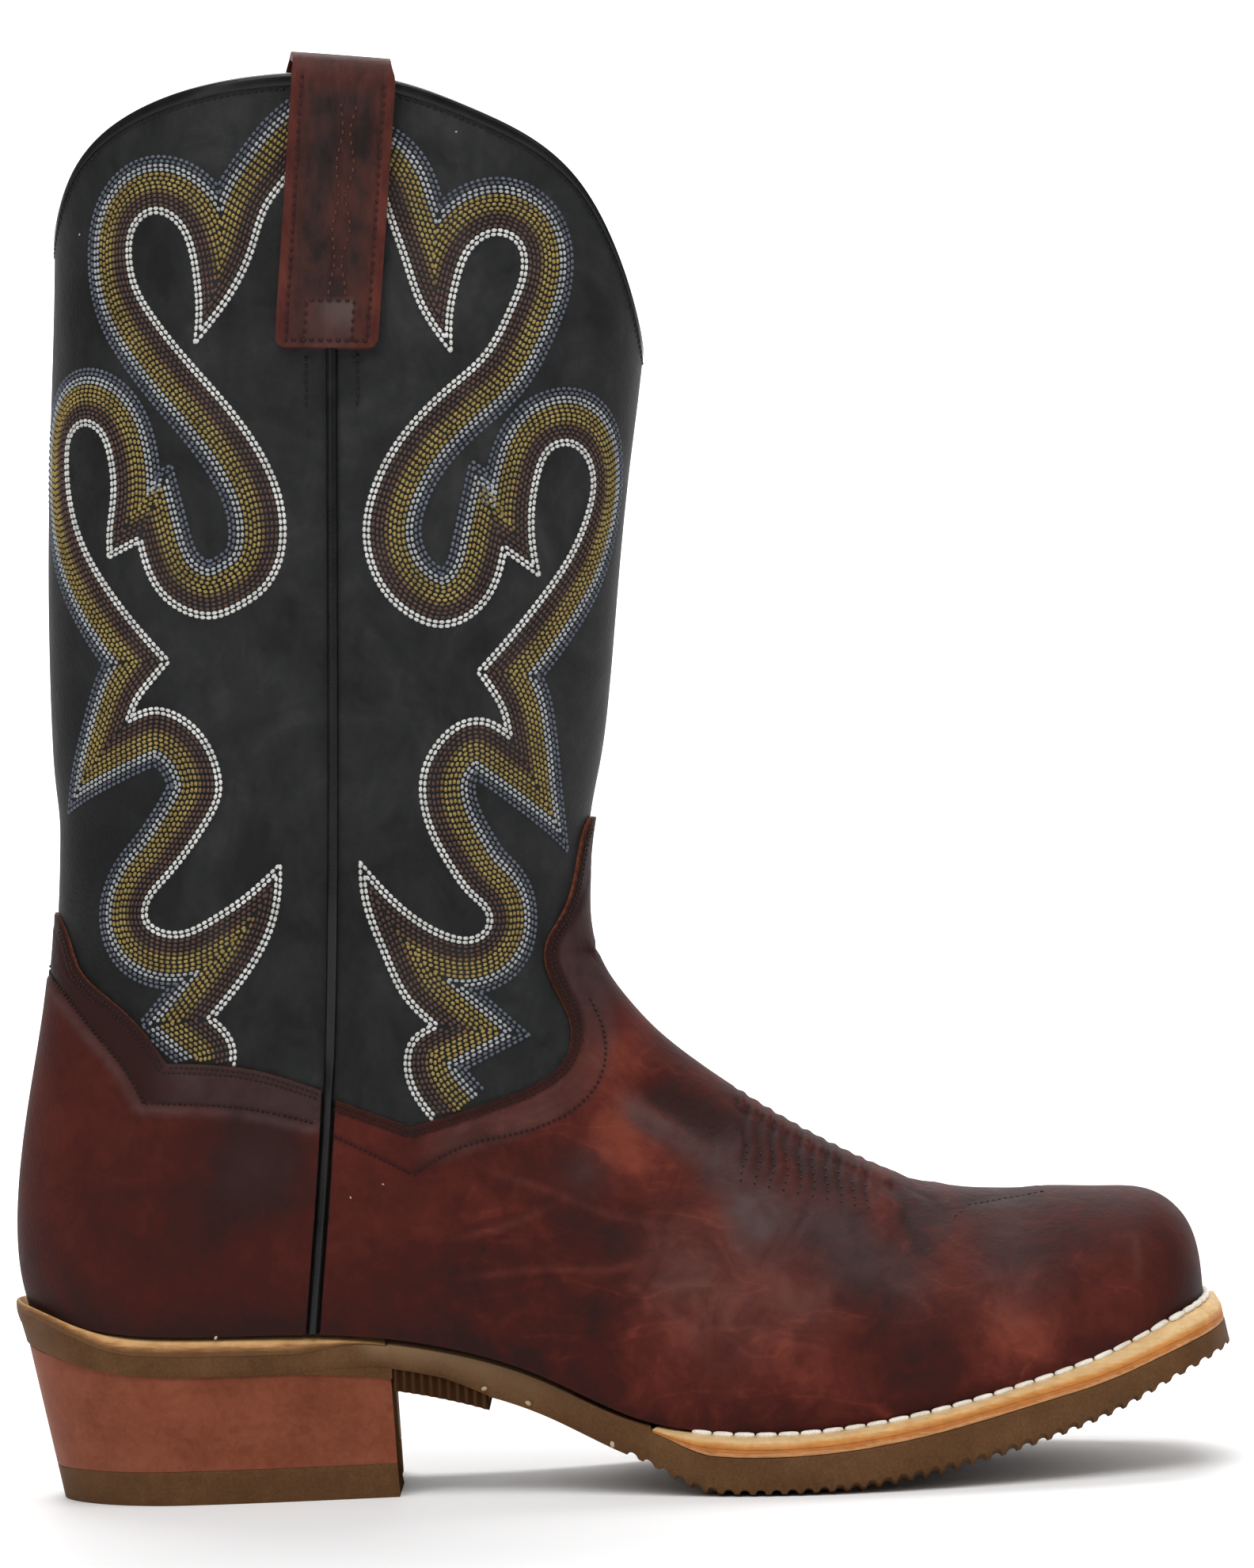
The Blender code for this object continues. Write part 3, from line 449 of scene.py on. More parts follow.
vampFinish = {
    "ramp": [(0.40, (0.027, 0.0108, 0.0095)), (0.53, (0.05, 0.011, 0.0085)),
             (0.66, (0.082, 0.0165, 0.0115)), (0.86, (0.165, 0.037, 0.022))],
    # pale grey of bloom on the wax, also the colour of painted highlights and a painted reflection
    "bloom": (0.074, 0.047, 0.045),
    "cutEdge": [(0.35, (0.1, 0.03, 0.0155)), (0.7, (0.28, 0.095, 0.042))],
}


def vampLeather():
    # waxed leather that pales where it is pulled: clouds, listed tones and thin pale veins
    material, tree, shader, where = newMaterial("vamp_leather_waxed", 0.55, specular=0.05)
    flex = attributeOf(tree, "flex")
    broad = noiseAt(tree, where, 24.0, 6.0, 0.6, 0.9)
    cloud = noiseAt(tree, where, 75.0, 7.0, 0.64, 1.1)
    streak = noiseAt(tree, where, 260.0, 6.0, 0.68, 0.8)
    mottle = mathOf(tree, "MULTIPLY_ADD", cloud, 0.46, -0.23)
    mottle = mathOf(tree, "MULTIPLY_ADD", mathOf(tree, "SUBTRACT", broad, 0.5), 0.6, mottle)
    mottle = mathOf(tree, "MULTIPLY", mottle, mathOf(tree, "MULTIPLY_ADD", flex, 0.4, 0.55))
    level = noiseAt(tree, where, 34.0, 3.0, 0.5, 0.5, stretch=(0.5, 0.5, 1.4))
    apart = mathOf(tree, "ABSOLUTE", mathOf(tree, "SUBTRACT", level, 0.5))
    pulled = mathOf(tree, "MULTIPLY", flex, mathOf(tree, "SUBTRACT", cloud, 0.3))
    vein = mathOf(tree, "MULTIPLY", mapOf(tree, apart, 0.0, 0.016, 1.0, 0.0), pulled, clamp=True)
    # besides the leather's own tones, the tone carries painted shade in creases, between tucks, along
    # pressed rows and by the welt
    tone = mathOf(tree, "ADD", attributeOf(tree, "tone"), mathOf(tree, "MULTIPLY_ADD", streak, 0.2, 0.5))
    tone = mathOf(tree, "MULTIPLY_ADD", vein, 0.3, mathOf(tree, "ADD", tone, mottle))
    patchy = mathOf(tree, "MULTIPLY_ADD", cloud, 2.4, -0.35)
    # pale bloom patches on the wax, together with painted highlights on ridges and the padding's edge and a
    # painted reflection along one fold
    bloom = mathOf(tree, "MULTIPLY", attributeOf(tree, "bloom"), patchy, clamp=True)
    colour = mixOf(tree, bloom, rampOf(tree, tone, vampFinish["ramp"]), vampFinish["bloom"])
    edge = rampOf(tree, noiseAt(tree, where, 900.0, 4.0, 0.6), vampFinish["cutEdge"])
    setColour(tree, shader, mixOf(tree, attributeOf(tree, "rim"), colour, edge))
    setRoughness(tree, shader, streak, 0.45, 0.7)
    grain = mathOf(tree, "MULTIPLY_ADD", vein, -0.5, leatherGrain(tree, where, 820.0))
    wrinkle = noiseAt(tree, where, 120.0, 3.0, 0.5, 1.6, stretch=(0.8, 0.8, 1.3))
    grain = mathOf(tree, "MULTIPLY_ADD", cloud, 1.2, grain)
    grain = mathOf(tree, "MULTIPLY_ADD", mathOf(tree, "MULTIPLY", wrinkle, flex), 2.6, grain)
    addBump(tree, shader, grain, 0.22, 0.55)
    return material


def pipingLeather():
    material, tree, shader, where = newMaterial("piping_leather_black", 0.3, specular=0.26)
    cloud = noiseAt(tree, where, 140.0, 4.0)
    stops = [(0.35, (0.003, 0.0032, 0.0034)), (0.7, (0.0075, 0.0078, 0.0082))]
    setColour(tree, shader, rampOf(tree, cloud, stops))
    setRoughness(tree, shader, cloud, 0.16, 0.32)
    addBump(tree, shader, leatherGrain(tree, where, 1300.0), 0.06, 0.4)
    return material


def strapLeather():
    # dark down the middle, red along the rolled edges and paler in the foot's stitched box, with a painted
    # grey sheen over the box's upper front part
    material, tree, shader, where = newMaterial("pull_strap_leather", 0.5, specular=0.1)
    cloud = noiseAt(tree, where, 55.0, 5.0, 0.6, 0.4)
    streak = noiseAt(tree, where, 420.0, 4.0, 0.6, 0.3, stretch=(1.0, 1.0, 0.35))
    tone = weighted(tree, cloud, 0.6, streak, 0.4)
    stops = [(0.4, (0.014, 0.0105, 0.01)), (0.5, (0.027, 0.0155, 0.0142)), (0.62, (0.052, 0.02, 0.016))]
    middle = rampOf(tree, tone, stops)
    rolled = rampOf(tree, tone, [(0.4, (0.046, 0.0115, 0.009)), (0.6, (0.094, 0.024, 0.0175))])
    colour = mixOf(tree, attributeOf(tree, "edge"), middle, rolled)
    # the pale grey mixed in over the stitched box is mostly a painted sheen on its upper front part
    setColour(tree, shader, mixOf(tree, attributeOf(tree, "bloom"), colour, (0.088, 0.064, 0.06)))
    setRoughness(tree, shader, streak, 0.34, 0.58)
    addBump(tree, shader, leatherGrain(tree, where, 820.0), 0.15, 0.5)
    return material


def weltLeather(name, stops):
    # layers from the top face down the side, broken up by fibres that run along the strip
    material, tree, shader, where = newMaterial(name, 0.6, specular=0.1)
    fibres = noiseAt(tree, where, 260.0, 6.0, 0.7, 0.6, stretch=(0.4, 0.4, 2.6))
    cloud = noiseAt(tree, where, 240.0, 5.0, 0.65, 0.4)
    streaks = noiseAt(tree, where, 700.0, 4.0, 0.7, 0.4, stretch=(0.2, 0.2, 2.2))
    frayed = mathOf(tree, "MULTIPLY_ADD", streaks, 0.5, mathOf(tree, "MULTIPLY_ADD", fibres, 0.46, -0.48))
    down = mathOf(tree, "ADD", attributeOf(tree, "side"), frayed)
    shade = rampOf(tree, cloud, [(0.3, (0.78, 0.74, 0.7)), (0.7, (1.0, 1.0, 1.0))])
    setColour(tree, shader, mixOf(tree, 1.0, rampOf(tree, down, stops), shade, "MULTIPLY"))
    setRoughness(tree, shader, cloud, 0.5, 0.7)
    addBump(tree, shader, mathOf(tree, "ADD", fibres, streaks), 0.3, 0.6)
    return material


weltLayers = [
    (0.0, (0.72, 0.50, 0.26)), (0.12, (0.70, 0.43, 0.18)), (0.3, (0.62, 0.28, 0.08)),
    (0.55, (0.52, 0.19, 0.046)), (0.72, (0.47, 0.17, 0.046)), (0.86, (0.62, 0.33, 0.15)),
    (1.0, (0.42, 0.18, 0.07)),
]
randLayers = [
    (0.0, (0.66, 0.41, 0.19)), (0.2, (0.58, 0.33, 0.135)),
    (0.42, (0.30, 0.145, 0.056)), (0.7, (0.145, 0.07, 0.029)),
]


def soleRubber():
    material, tree, shader, where = newMaterial("sole_rubber_brown", 0.7, specular=0.06)
    cloud = noiseAt(tree, where, 60.0, 5.0, 0.6)
    speck = noiseAt(tree, where, 1500.0, 3.0, 0.65)
    tone = weighted(tree, cloud, 0.6, speck, 0.4)
    stops = [(0.32, (0.068, 0.032, 0.013)), (0.52, (0.107, 0.051, 0.0215)), (0.72, (0.15, 0.077, 0.034))]
    # shade above zero paints a highlight on the rim's top face; below zero darkens the pad, with painted
    # shade in its deeper cuts, and the heel cap's breast
    shade = attributeOf(tree, "shade")
    pale = mathOf(tree, "MAXIMUM", shade, 0.0)
    dark = mathOf(tree, "MAXIMUM", mathOf(tree, "MULTIPLY", shade, -1.0), 0.0)
    colour = mixOf(tree, pale, rampOf(tree, tone, stops), (0.31, 0.205, 0.115))
    setColour(tree, shader, mixOf(tree, dark, colour, (0.042, 0.018, 0.0085)))
    tree.links.new(mapOf(tree, dark, 0.0, 0.3, 0.06, 0.0), shader.inputs["Specular IOR Level"])
    setRoughness(tree, shader, speck, 0.52, 0.74)
    addBump(tree, shader, speck, 0.12, 0.6)
    return material


def heelLeather():
    # stacked lifts with faint level lines and scuffs, and a raw dark breast
    material, tree, shader, where = newMaterial("heel_stack_leather", 0.6)
    cloud = noiseAt(tree, where, 70.0, 6.0, 0.65, 0.4)
    lifts = noiseAt(tree, where, 60.0, 3.0, 0.5, stretch=(0.25, 0.25, 6.0))
    scuff = noiseAt(tree, where, 420.0, 5.0, 0.7, 0.6)
    tone = weighted(tree, cloud, 0.55, lifts, 0.1)
    tone = mathOf(tree, "MULTIPLY_ADD", scuff, 0.35, tone)
    stops = [(0.34, (0.135, 0.036, 0.018)), (0.5, (0.194, 0.056, 0.028)), (0.68, (0.25, 0.08, 0.044))]
    breast = attributeOf(tree, "breast")
    setColour(tree, shader, mixOf(tree, breast, rampOf(tree, tone, stops), (0.08, 0.042, 0.018)))
    tree.links.new(mapOf(tree, breast, 0.0, 1.0, 0.06, 0.0), shader.inputs["Specular IOR Level"])
    setRoughness(tree, shader, scuff, 0.4, 0.65)
    addBump(tree, shader, tone, 0.16, 0.5)
    return material


def threadOf(name, colour, shade):
    # fine strands and broader clouds vary the colour of the stitches
    material, tree, shader, where = newMaterial(name, 0.5, specular=0.25)
    strands = noiseAt(tree, where, 2600.0, 2.0, 0.5)
    cloud = noiseAt(tree, where, 150.0, 3.0, 0.6)
    tone = weighted(tree, strands, 0.5, cloud, 0.5)
    setColour(tree, shader, rampOf(tree, tone, [(0.36, shade), (0.62, colour)]))
    addBump(tree, shader, strands, 0.1, 0.6)
    return material


shaftMaterial, liningMaterial, vampMaterial = shaftLeather(), liningLeather(), vampLeather()
pipingMaterial, strapMaterial = pipingLeather(), strapLeather()
weltMaterial = weltLeather("welt_leather_tan", weltLayers)
randMaterial = weltLeather("rand_leather_tan", randLayers)
rubberMaterial, heelMaterial = soleRubber(), heelLeather()
threads = {  # colour and shade of each thread
    "white": ((0.72, 0.715, 0.69), (0.42, 0.42, 0.40)),
    "cream": ((0.9, 0.86, 0.78), (0.62, 0.55, 0.44)),
    "tan": ((0.6, 0.5, 0.34), (0.36, 0.28, 0.17)),
    "brown": ((0.11, 0.058, 0.043), (0.045, 0.024, 0.02)),
    "bronze": ((0.215, 0.13, 0.05), (0.095, 0.054, 0.022)),
    "gold": ((0.37, 0.275, 0.08), (0.17, 0.115, 0.03)),
    "silver": ((0.45, 0.46, 0.47), (0.22, 0.23, 0.245)),
    "navy": ((0.13, 0.145, 0.18), (0.055, 0.062, 0.085)),
    "dark": ((0.016, 0.007, 0.006), (0.006, 0.0035, 0.003)),
    "black": ((0.0085, 0.0085, 0.009), (0.004, 0.004, 0.0045)),
    "maroon": ((0.032, 0.0065, 0.0055), (0.011, 0.0035, 0.003)),
    "rust": ((0.1, 0.03, 0.017), (0.04, 0.012, 0.008)),
}
threadMaterials = {name: threadOf("thread_" + name, *pair) for name, pair in threads.items()}
print("materials made:", len(bpy.data.materials))

# The shaft laid flat: distance round from the side seam at each height
flatRows = np.linspace(52.0, 358.0, 137)
flatTurns = np.linspace(0, 1, 361)


def flatTable(side):
    arcs = []
    for z in flatRows:
        x = acrossShaft(runOf(flatTurns), z)
        half, middle = upperHalfWidth(x, np.full_like(x, z))
        arc = np.concatenate([[0], np.cumsum(np.hypot(np.diff(x), np.diff(middle + side * half)))])
        arcs.append(arc - np.interp(seamX(z), x, arc))
    return np.array(arcs)


flatArcs = {side: flatTable(side) for side in sideNames}


def flatRowAt(z):
    return np.clip((z - flatRows[0]) / (flatRows[1] - flatRows[0]), 0, len(flatRows) - 1.001)


def layFlat(x, z, side):
    x, z = np.asarray(x, float), np.asarray(z, float)
    share = np.clip((x - backEdge(z)) / (frontEdge(z) - backEdge(z)), 0, 1)
    turn = np.arccos(1 - 2 * share) / math.pi
    rowAt = flatRowAt(z)
    low = rowAt.astype(int)
    turnAt = turn * (len(flatTurns) - 1)
    left = np.minimum(turnAt.astype(int), len(flatTurns) - 2)
    arcs, up, along = flatArcs[side], rowAt - low, turnAt - left
    lower = arcs[low, left] * (1 - along) + arcs[low, left + 1] * along
    upper = arcs[low + 1, left] * (1 - along) + arcs[low + 1, left + 1] * along
    return lower * (1 - up) + upper * up


def rollBack(u, z, side):
    # the point on the upper's face at a distance round from the seam and a height
    rowAt = flatRowAt(z)
    low, turn = rowAt.astype(int), np.zeros_like(u)
    for row in np.unique(low):
        here = low == row
        lower = np.interp(u[here], flatArcs[side][row], flatTurns)
        upper = np.interp(u[here], flatArcs[side][row + 1], flatTurns)
        turn[here] = lower + (upper - lower) * (rowAt[here] - row)
    return sideFace(acrossShaft(runOf(turn), z), z, side)


def flatLine(line, side):
    return np.stack([layFlat(*line.T, side), line[:, 1]], axis=-1)


def stitchFrames(u, z, du, dz, side, lift, relief=None):
    # centre, along and outward directions for stitches on the upper or an overlay
    u, z, du, dz = (np.atleast_1d(np.asarray(a, float)) for a in (u, z, du, dz))
    step = 0.5
    centre = rollBack(u, z, side)
    across = rollBack(u + step, z, side) - rollBack(u - step, z, side)
    upward = rollBack(u, z + step, side) - rollBack(u, z - step, side)
    outward = unit(-side * np.cross(across, upward))
    along = unit(du[:, None] * across + dz[:, None] * upward)
    raised = lift + (relief(centre) if relief else 0)
    return centre + outward * np.reshape(raised * np.ones(len(centre)), (-1, 1)), along, outward


def stitchPiece(name, centre, along, outward, sizes, thread, slot, squared=None):
    # one low stitch shape set down at every place, joined in one mesh
    builder = bmesh.new()
    bmesh.ops.create_icosphere(builder, subdivisions=2 if squared else 1, radius=0.5)
    shape = np.array([v.co[:] for v in builder.verts])
    if squared:
        shape = np.sign(shape) * np.abs(2 * shape) ** squared / 2
    faces = np.array([[v.index for v in face.verts] for face in builder.faces])
    builder.free()
    sizes = np.broadcast_to(np.asarray(sizes, float), (len(centre), 3))  # length, width, height
    axes = np.stack([along, unit(np.cross(outward, along)), outward], axis=1)
    points = centre[:, None, :] + np.einsum("vk,nk,nkc->nvc", shape, sizes, axes)
    allFaces = (faces[None] + len(shape) * np.arange(len(centre))[:, None, None]).reshape(-1, 3)
    mesh = bpy.data.meshes.new(name)
    mesh.from_pydata((points.reshape(-1, 3) * mm).tolist(), [], allFaces.tolist())
    placePiece(name, mesh, [threadMaterials[thread]])


def reachAlong(points):
    return np.concatenate([[0], np.cumsum(np.linalg.norm(np.diff(points, axis=0), axis=1))])


def evenPoints(points, pitch, start=0.0):
    # places at an even pitch along a line, with the way it runs at each
    reach = reachAlong(points)
    at = np.arange(start, reach[-1], pitch)
    nudge = pitch * 0.2

    def placeAt(distance):
        return np.stack([np.interp(distance, reach, column) for column in points.T], axis=-1)

    return placeAt(at), placeAt(at + nudge) - placeAt(at - nudge)


def insideOutline(x, z, outline):
    inside = np.zeros(np.shape(x), bool)
    ring = np.array(outline)
    for (x0, z0), (x1, z1) in zip(ring, np.roll(ring, -1, axis=0)):
        if z0 != z1:
            crosses = (z0 > z) != (z1 > z)
            inside ^= crosses & (x < (x1 - x0) * (z - z0) / (z1 - z0) + x0)
    return inside


drawing = {"spacing": 0.35, "reach": 60.0, "sharpest": 2.75, "slack": 0.12}  # of rows beside a path


def offsetRuns(runs, hand, distance):
    # smooth runs that meet at corners, drawn aside by a distance with mitred corners
    lines, spacing = [], drawing["spacing"]
    for run in runs:
        run = np.asarray(run, float)
        along = np.linalg.norm(np.diff(run, axis=0), axis=1).sum()
        line = np.stack(pathThrough(run, max(int(along / spacing), 8)), axis=-1)
        lines.append((line, unit(np.gradient(line, axis=0))))
    made = []
    for i, (line, way) in enumerate(lines):
        aside = hand * np.stack([-way[:, 1], way[:, 0]], axis=-1)
        steps = np.arange(spacing, drawing["reach"], spacing)[:, None]
        count = len(steps)
        before, after = line[0] - way[0] * steps[::-1], line[-1] + way[-1] * steps
        base = np.concatenate([before, line, after])
        shift = np.pad(aside, ((count, count), (0, 0)), mode="edge")
        beyond = np.concatenate([steps[::-1, 0], np.zeros(len(line)), steps[:, 0]])
        limit = np.zeros(len(base))
        corners = []
        if i > 0:
            corners.append((lines[i - 1][1][-1], way[0], slice(None, count)))
        if i + 1 < len(lines):
            corners.append((way[-1], lines[i + 1][1][0], slice(len(base) - count, None)))
        for first, second, mine in corners:
            turned = math.atan2(first[0] * second[1] - first[1] * second[0], first @ second)
            if turned * hand < 0:
                limit[mine] = distance * math.tan(min(abs(turned), drawing["sharpest"]) / 2)
        moved = base + shift * distance
        near = np.concatenate([other[::2] for other, _ in lines])
        gap = np.full(len(moved), np.inf)
        for part in np.array_split(near, max(len(near) // 200, 1)):
            gap = np.minimum(gap, np.linalg.norm(moved[:, None] - part[None], axis=2).min(1))
        keep = (beyond <= limit + 1e-9) & (gap >= distance - drawing["slack"])
        made.append({"line": moved, "keep": keep})
    return made


# Outlines of the overlays in the side view, x and z
overlay = {
    "tongue": [
        (24.0, 173.0), (-4.0, 169.0), (-12.0, 145.0), (-16.9, 136.0), (-16.5, 130.0),
        (-11.0, 115.6), (-12.4, 108.5), (-18.5, 103.0), (-29.7, 98.6), (-51.7, 92.4),
    ],
    "vampSide": [(-51.7, 92.4), (-62.0, 96.6), (-82.0, 104.5)],
    "counterSide": [(-66.0, 99.5), (-75.0, 103.0), (-89.5, 108.0), (-112.3, 110.5)],
    "counterBack": [
        (-112.3, 110.5), (-119.0, 120.0), (-125.7, 126.4), (-134.4, 135.0),
        (-137.0, 143.0), (-141.3, 150.0), (-165.0, 156.0),
    ],
    "seamClearance": 1.8, "wall": 1.3, "lift": 0.1,
    "closeRows": (70.0, 20.0), "vampRows": (44, 86, 44), "vampSteps": (2.0, 0.0068),
    "counterRows": 110, "counterSteps": (1.6, 0.02), "counterPower": 1.25,
    "vampPoints": (260, 50), "counterPoints": (80, 120),
}


search = {"grid": 161, "top": 1.3, "highest": 1.4, "rounds": 12, "stride": 0.02, "step": 1e-4}


def locate(x, z):
    # turn and level of places in the side view, found on a coarse grid and then refined
    grid, step, stride = search["grid"], search["step"], search["stride"]
    turns, levels = np.meshgrid(np.linspace(0, 1, grid), np.linspace(0, search["top"], grid))
    gridX, gridZ = sidePlace(turns.ravel(), levels.ravel())
    nearest = [np.argmin((gridX - a) ** 2 + (gridZ - b) ** 2) for a, b in zip(x, z)]
    turn, level = turns.ravel()[nearest].copy(), levels.ravel()[nearest].copy()
    for _ in range(search["rounds"]):
        atX, atZ = sidePlace(turn, level)
        turnX, turnZ = sidePlace(turn + step, level)
        levelX, levelZ = sidePlace(turn, level + step)
        a, b = (turnX - atX) / step, (levelX - atX) / step
        c, d = (turnZ - atZ) / step, (levelZ - atZ) / step
        scale = a * d - b * c
        scale = np.where(np.abs(scale) < 1e-6, 1e-6, scale)
        missX, missZ = x - atX, z - atZ
        turn = np.clip(turn + np.clip((d * missX - b * missZ) / scale, -stride, stride), 0, 1)
        level = level + np.clip((a * missZ - c * missX) / scale, -stride, stride)
        level = np.clip(level, 0, search["highest"])
    return turn, level


def seamTurns(clearance):
    # the seam's turn at each level
    heights = np.linspace(41.0, 116.0, 40)
    turn, level = locate(seamX(heights) + clearance, heights)
    return lambda at: np.interp(at, level, turn)


def overlayGrid(edge, seamAt, endTurn, rowShares, stepOnEdge, stepInShare):
    # rows from the lower edge up to the overlay's own edge, columns from the seam to the middle line
    edgeTurn, edgeLevel = locate(*edge.T)
    share = np.clip((edgeTurn - seamAt(edgeLevel)) / (endTurn - seamAt(edgeLevel)), 0, 1)
    share[0], share[-1] = 0, 1
    share = np.maximum.accumulate(share)
    onEdge = np.linalg.norm(np.diff(edge, axis=0), axis=1)
    count = np.concatenate([[0], np.cumsum(onEdge / stepOnEdge + np.diff(share) / stepInShare)])
    at = np.linspace(0, count[-1], int(count[-1]) + 1)
    share, edgeLevel = np.interp(at, count, share), np.interp(at, count, edgeLevel)
    level = rowShares[:, None] * edgeLevel[None]
    turn = seamAt(level) + share[None] * (endTurn - seamAt(level))
    return upperSurface(turn, level), upperSurface(2 - turn, level)


def joinEdges(first, second, steps):
    xs, zs = pathThrough(first, steps[0])
    moreX, moreZ = pathThrough(second, steps[1])
    return np.stack([np.concatenate([xs, moreX[1:]]), np.concatenate([zs, moreZ[1:]])], axis=-1)


vampEdge = joinEdges(overlay["tongue"], overlay["vampSide"], overlay["vampPoints"])
vampEdge = vampEdge[vampEdge[:, 0] > seamX(vampEdge[:, 1]) + overlay["seamClearance"]]
vampEdge = vampEdge[vampEdge[:, 0] < frontEdge(vampEdge[:, 1])][::-1]
counterEdge = joinEdges(overlay["counterSide"], overlay["counterBack"], overlay["counterPoints"])
counterEdge = counterEdge[counterEdge[:, 0] < seamX(counterEdge[:, 1]) - overlay["seamClearance"]]
counterEdge = counterEdge[counterEdge[:, 0] > backEdge(counterEdge[:, 1])]
print("overlay edges found")

# Photograph camera: level view from the outer side, rolled two degrees
view = {
    "width": 1584, "height": 1980, "distance": 1450.0, "pxPerMm": 4.946, "roll": 2.0,
    "anchor": (250.0, 1882.0), "anchorX": -110.5, "centreX": 5.3, "centreZ": 176.4, "nearY": -38.0,
}


def fromPhoto(px, py):
    # places in the side view, x and z, of photograph pixels on the outer side of the shaft
    px, py = np.asarray(px, float), np.asarray(py, float)
    roll, y = math.radians(view["roll"]), np.full(np.shape(px), view["nearY"])
    for _ in range(6):
        near = 1 + y / view["distance"]
        right = view["width"] / 2 + (px - view["width"] / 2) * near - view["anchor"][0]
        up = view["anchor"][1] - view["height"] / 2 - (py - view["height"] / 2) * near
        x = (math.cos(roll) * right + math.sin(roll) * up) / view["pxPerMm"] + view["anchorX"]
        z = (math.cos(roll) * up - math.sin(roll) * right) / view["pxPerMm"]
        half, middle = upperHalfWidth(x, z)
        y = middle - half
    return x, z


def photoLine(run):
    return np.stack(fromPhoto(*np.array(run, float).T), axis=-1)


# Relief of the leather: tucks over the instep, soft creases, a padded counter
secondRows = {  # photograph pixels along the second rows of stitches, as runs that meet at corners
    "counter": [[(62, 1218), (83, 1249), (122, 1302), (162, 1353), (183, 1393)],
                [(183, 1393), (261, 1395), (341, 1404), (395, 1417)]],
    "vamp": [[(421, 1434), (470, 1457), (521, 1483)],
             [(521, 1483), (587, 1447), (654, 1431), (721, 1404), (756, 1364), (762, 1324), (756, 1295),
              (740, 1262)]],
}
tucks = {"pitch": 3.3, "start": 31.0, "end": 66.0, "depth": 0.27, "slant": 0.12, "feet": (77.0, 67.0)}
# stitched line over the toe, x and z
toeBug = [(84.0, 63.6), (88.0, 66.0), (93.0, 66.4), (99.0, 67.0), (108.0, 67.6)]
folds = [  # path in the side view x, z, then trough depth, width, tone and bloom with painted sheen along it
    # darker tone in a trough is painted shade; paler tone and bloom along a ridge are partly pale creases
    # of the pulled leather and partly painted highlight
    ([(2.3, 102.5), (11.0, 96.3), (21.6, 89.4), (31.2, 82.4)], 1.0, 3.6, -0.2, 0.0),
    # the bloom along this ridge is a painted reflection
    ([(-1.3, 99.7), (4.0, 94.0), (13.6, 87.0), (25.6, 78.6)], -0.75, 3.2, 0.0, 0.75),
    ([(19.0, 84.0), (27.0, 77.0), (32.7, 68.9), (37.9, 59.7)], -0.2, 6.0, -0.06, 0.7),
    ([(1.0, 93.3), (6.8, 89.2), (13.6, 86.0)], 0.4, 1.3, -0.13, 0.0),
    ([(24.3, 83.0), (22.4, 78.2), (21.0, 72.9)], 0.5, 1.5, -0.1, 0.0),
    ([(47.4, 70.4), (45.2, 65.5), (43.5, 62.2)], 0.4, 1.5, -0.08, 0.0),
    ([(53.5, 70.0), (57.4, 63.0), (60.4, 55.0), (59.0, 46.0)], 0.45, 1.5, -0.12, 0.0),
    ([(70.0, 72.5), (76.2, 69.5), (80.5, 66.5), (84.0, 63.4)], 0.8, 1.6, -0.16, 0.0),
    ([(76.0, 71.0), (81.0, 68.5), (86.0, 65.5)], -0.45, 1.5, 0.04, 0.3),
    ([(66.0, 73.0), (70.0, 69.0), (73.5, 64.0)], 0.6, 1.5, -0.14, 0.0),
    ([(69.0, 66.0), (73.5, 60.0), (76.0, 53.0)], 0.5, 1.6, -0.12, 0.0),
    ([(62.0, 70.0), (65.0, 64.0), (66.0, 58.0)], -0.4, 1.8, 0.05, 0.0),
    (toeBug, 0.5, 1.1, -0.18, 0.0),
    ([(84.8, 60.5), (93.5, 56.2), (107.3, 56.6), (125.1, 58.0)], 0.2, 5.5, -0.13, 0.0),
    ([(72.0, 66.0), (79.0, 62.0), (84.0, 60.0)], 0.3, 3.0, -0.1, 0.2),
    ([(128.0, 59.5), (128.5, 53.0), (127.5, 46.0)], -0.12, 1.2, 0.05, 0.2),
    ([(-38.5, 84.6), (-30.8, 80.2), (-18.0, 75.4), (-7.7, 70.7), (4.4, 66.8), (16.4, 64.6)],
     -0.3, 1.1, 0.1, 0.15),
    ([(-44.0, 63.0), (-32.5, 66.1), (-22.9, 68.7), (-14.0, 73.5)], -0.25, 1.0, 0.1, 0.1),
    ([(-44.7, 53.9), (-28.9, 55.4), (-13.8, 55.8), (2.0, 56.4), (8.0, 60.0)], -0.3, 1.0, 0.12, 0.1),
    ([(3.8, 55.0), (8.0, 51.5), (16.0, 51.2), (28.0, 50.0)], -0.3, 1.1, 0.1, 0.15),
    ([(0.0, 52.5), (5.5, 48.5), (6.0, 42.5)], -0.25, 1.1, 0.1, 0.1),
    ([(-30.0, 74.0), (-14.0, 71.0), (8.0, 64.0)], 0.25, 3.4, 0.0, 0.0),
    ([(-48.0, 60.0), (-28.0, 53.0), (-12.0, 50.0)], 0.2, 4.0, 0.0, 0.0),
]


def nearPath(points, path):
    # distance to a smooth path in the side view and a fade towards its two ends
    line = np.stack(pathThrough(path, 60), axis=-1)
    distance, share = np.full(points.shape[:-1], np.inf), np.zeros(points.shape[:-1])
    for i, (x, z) in enumerate(line):
        gap = np.hypot(points[..., 0] - x, points[..., 2] - z)
        share = np.where(gap < distance, i / (len(line) - 1), share)
        distance = np.minimum(distance, gap)
    return distance, ease(0.0, 0.25, share) * ease(1.0, 0.75, share)


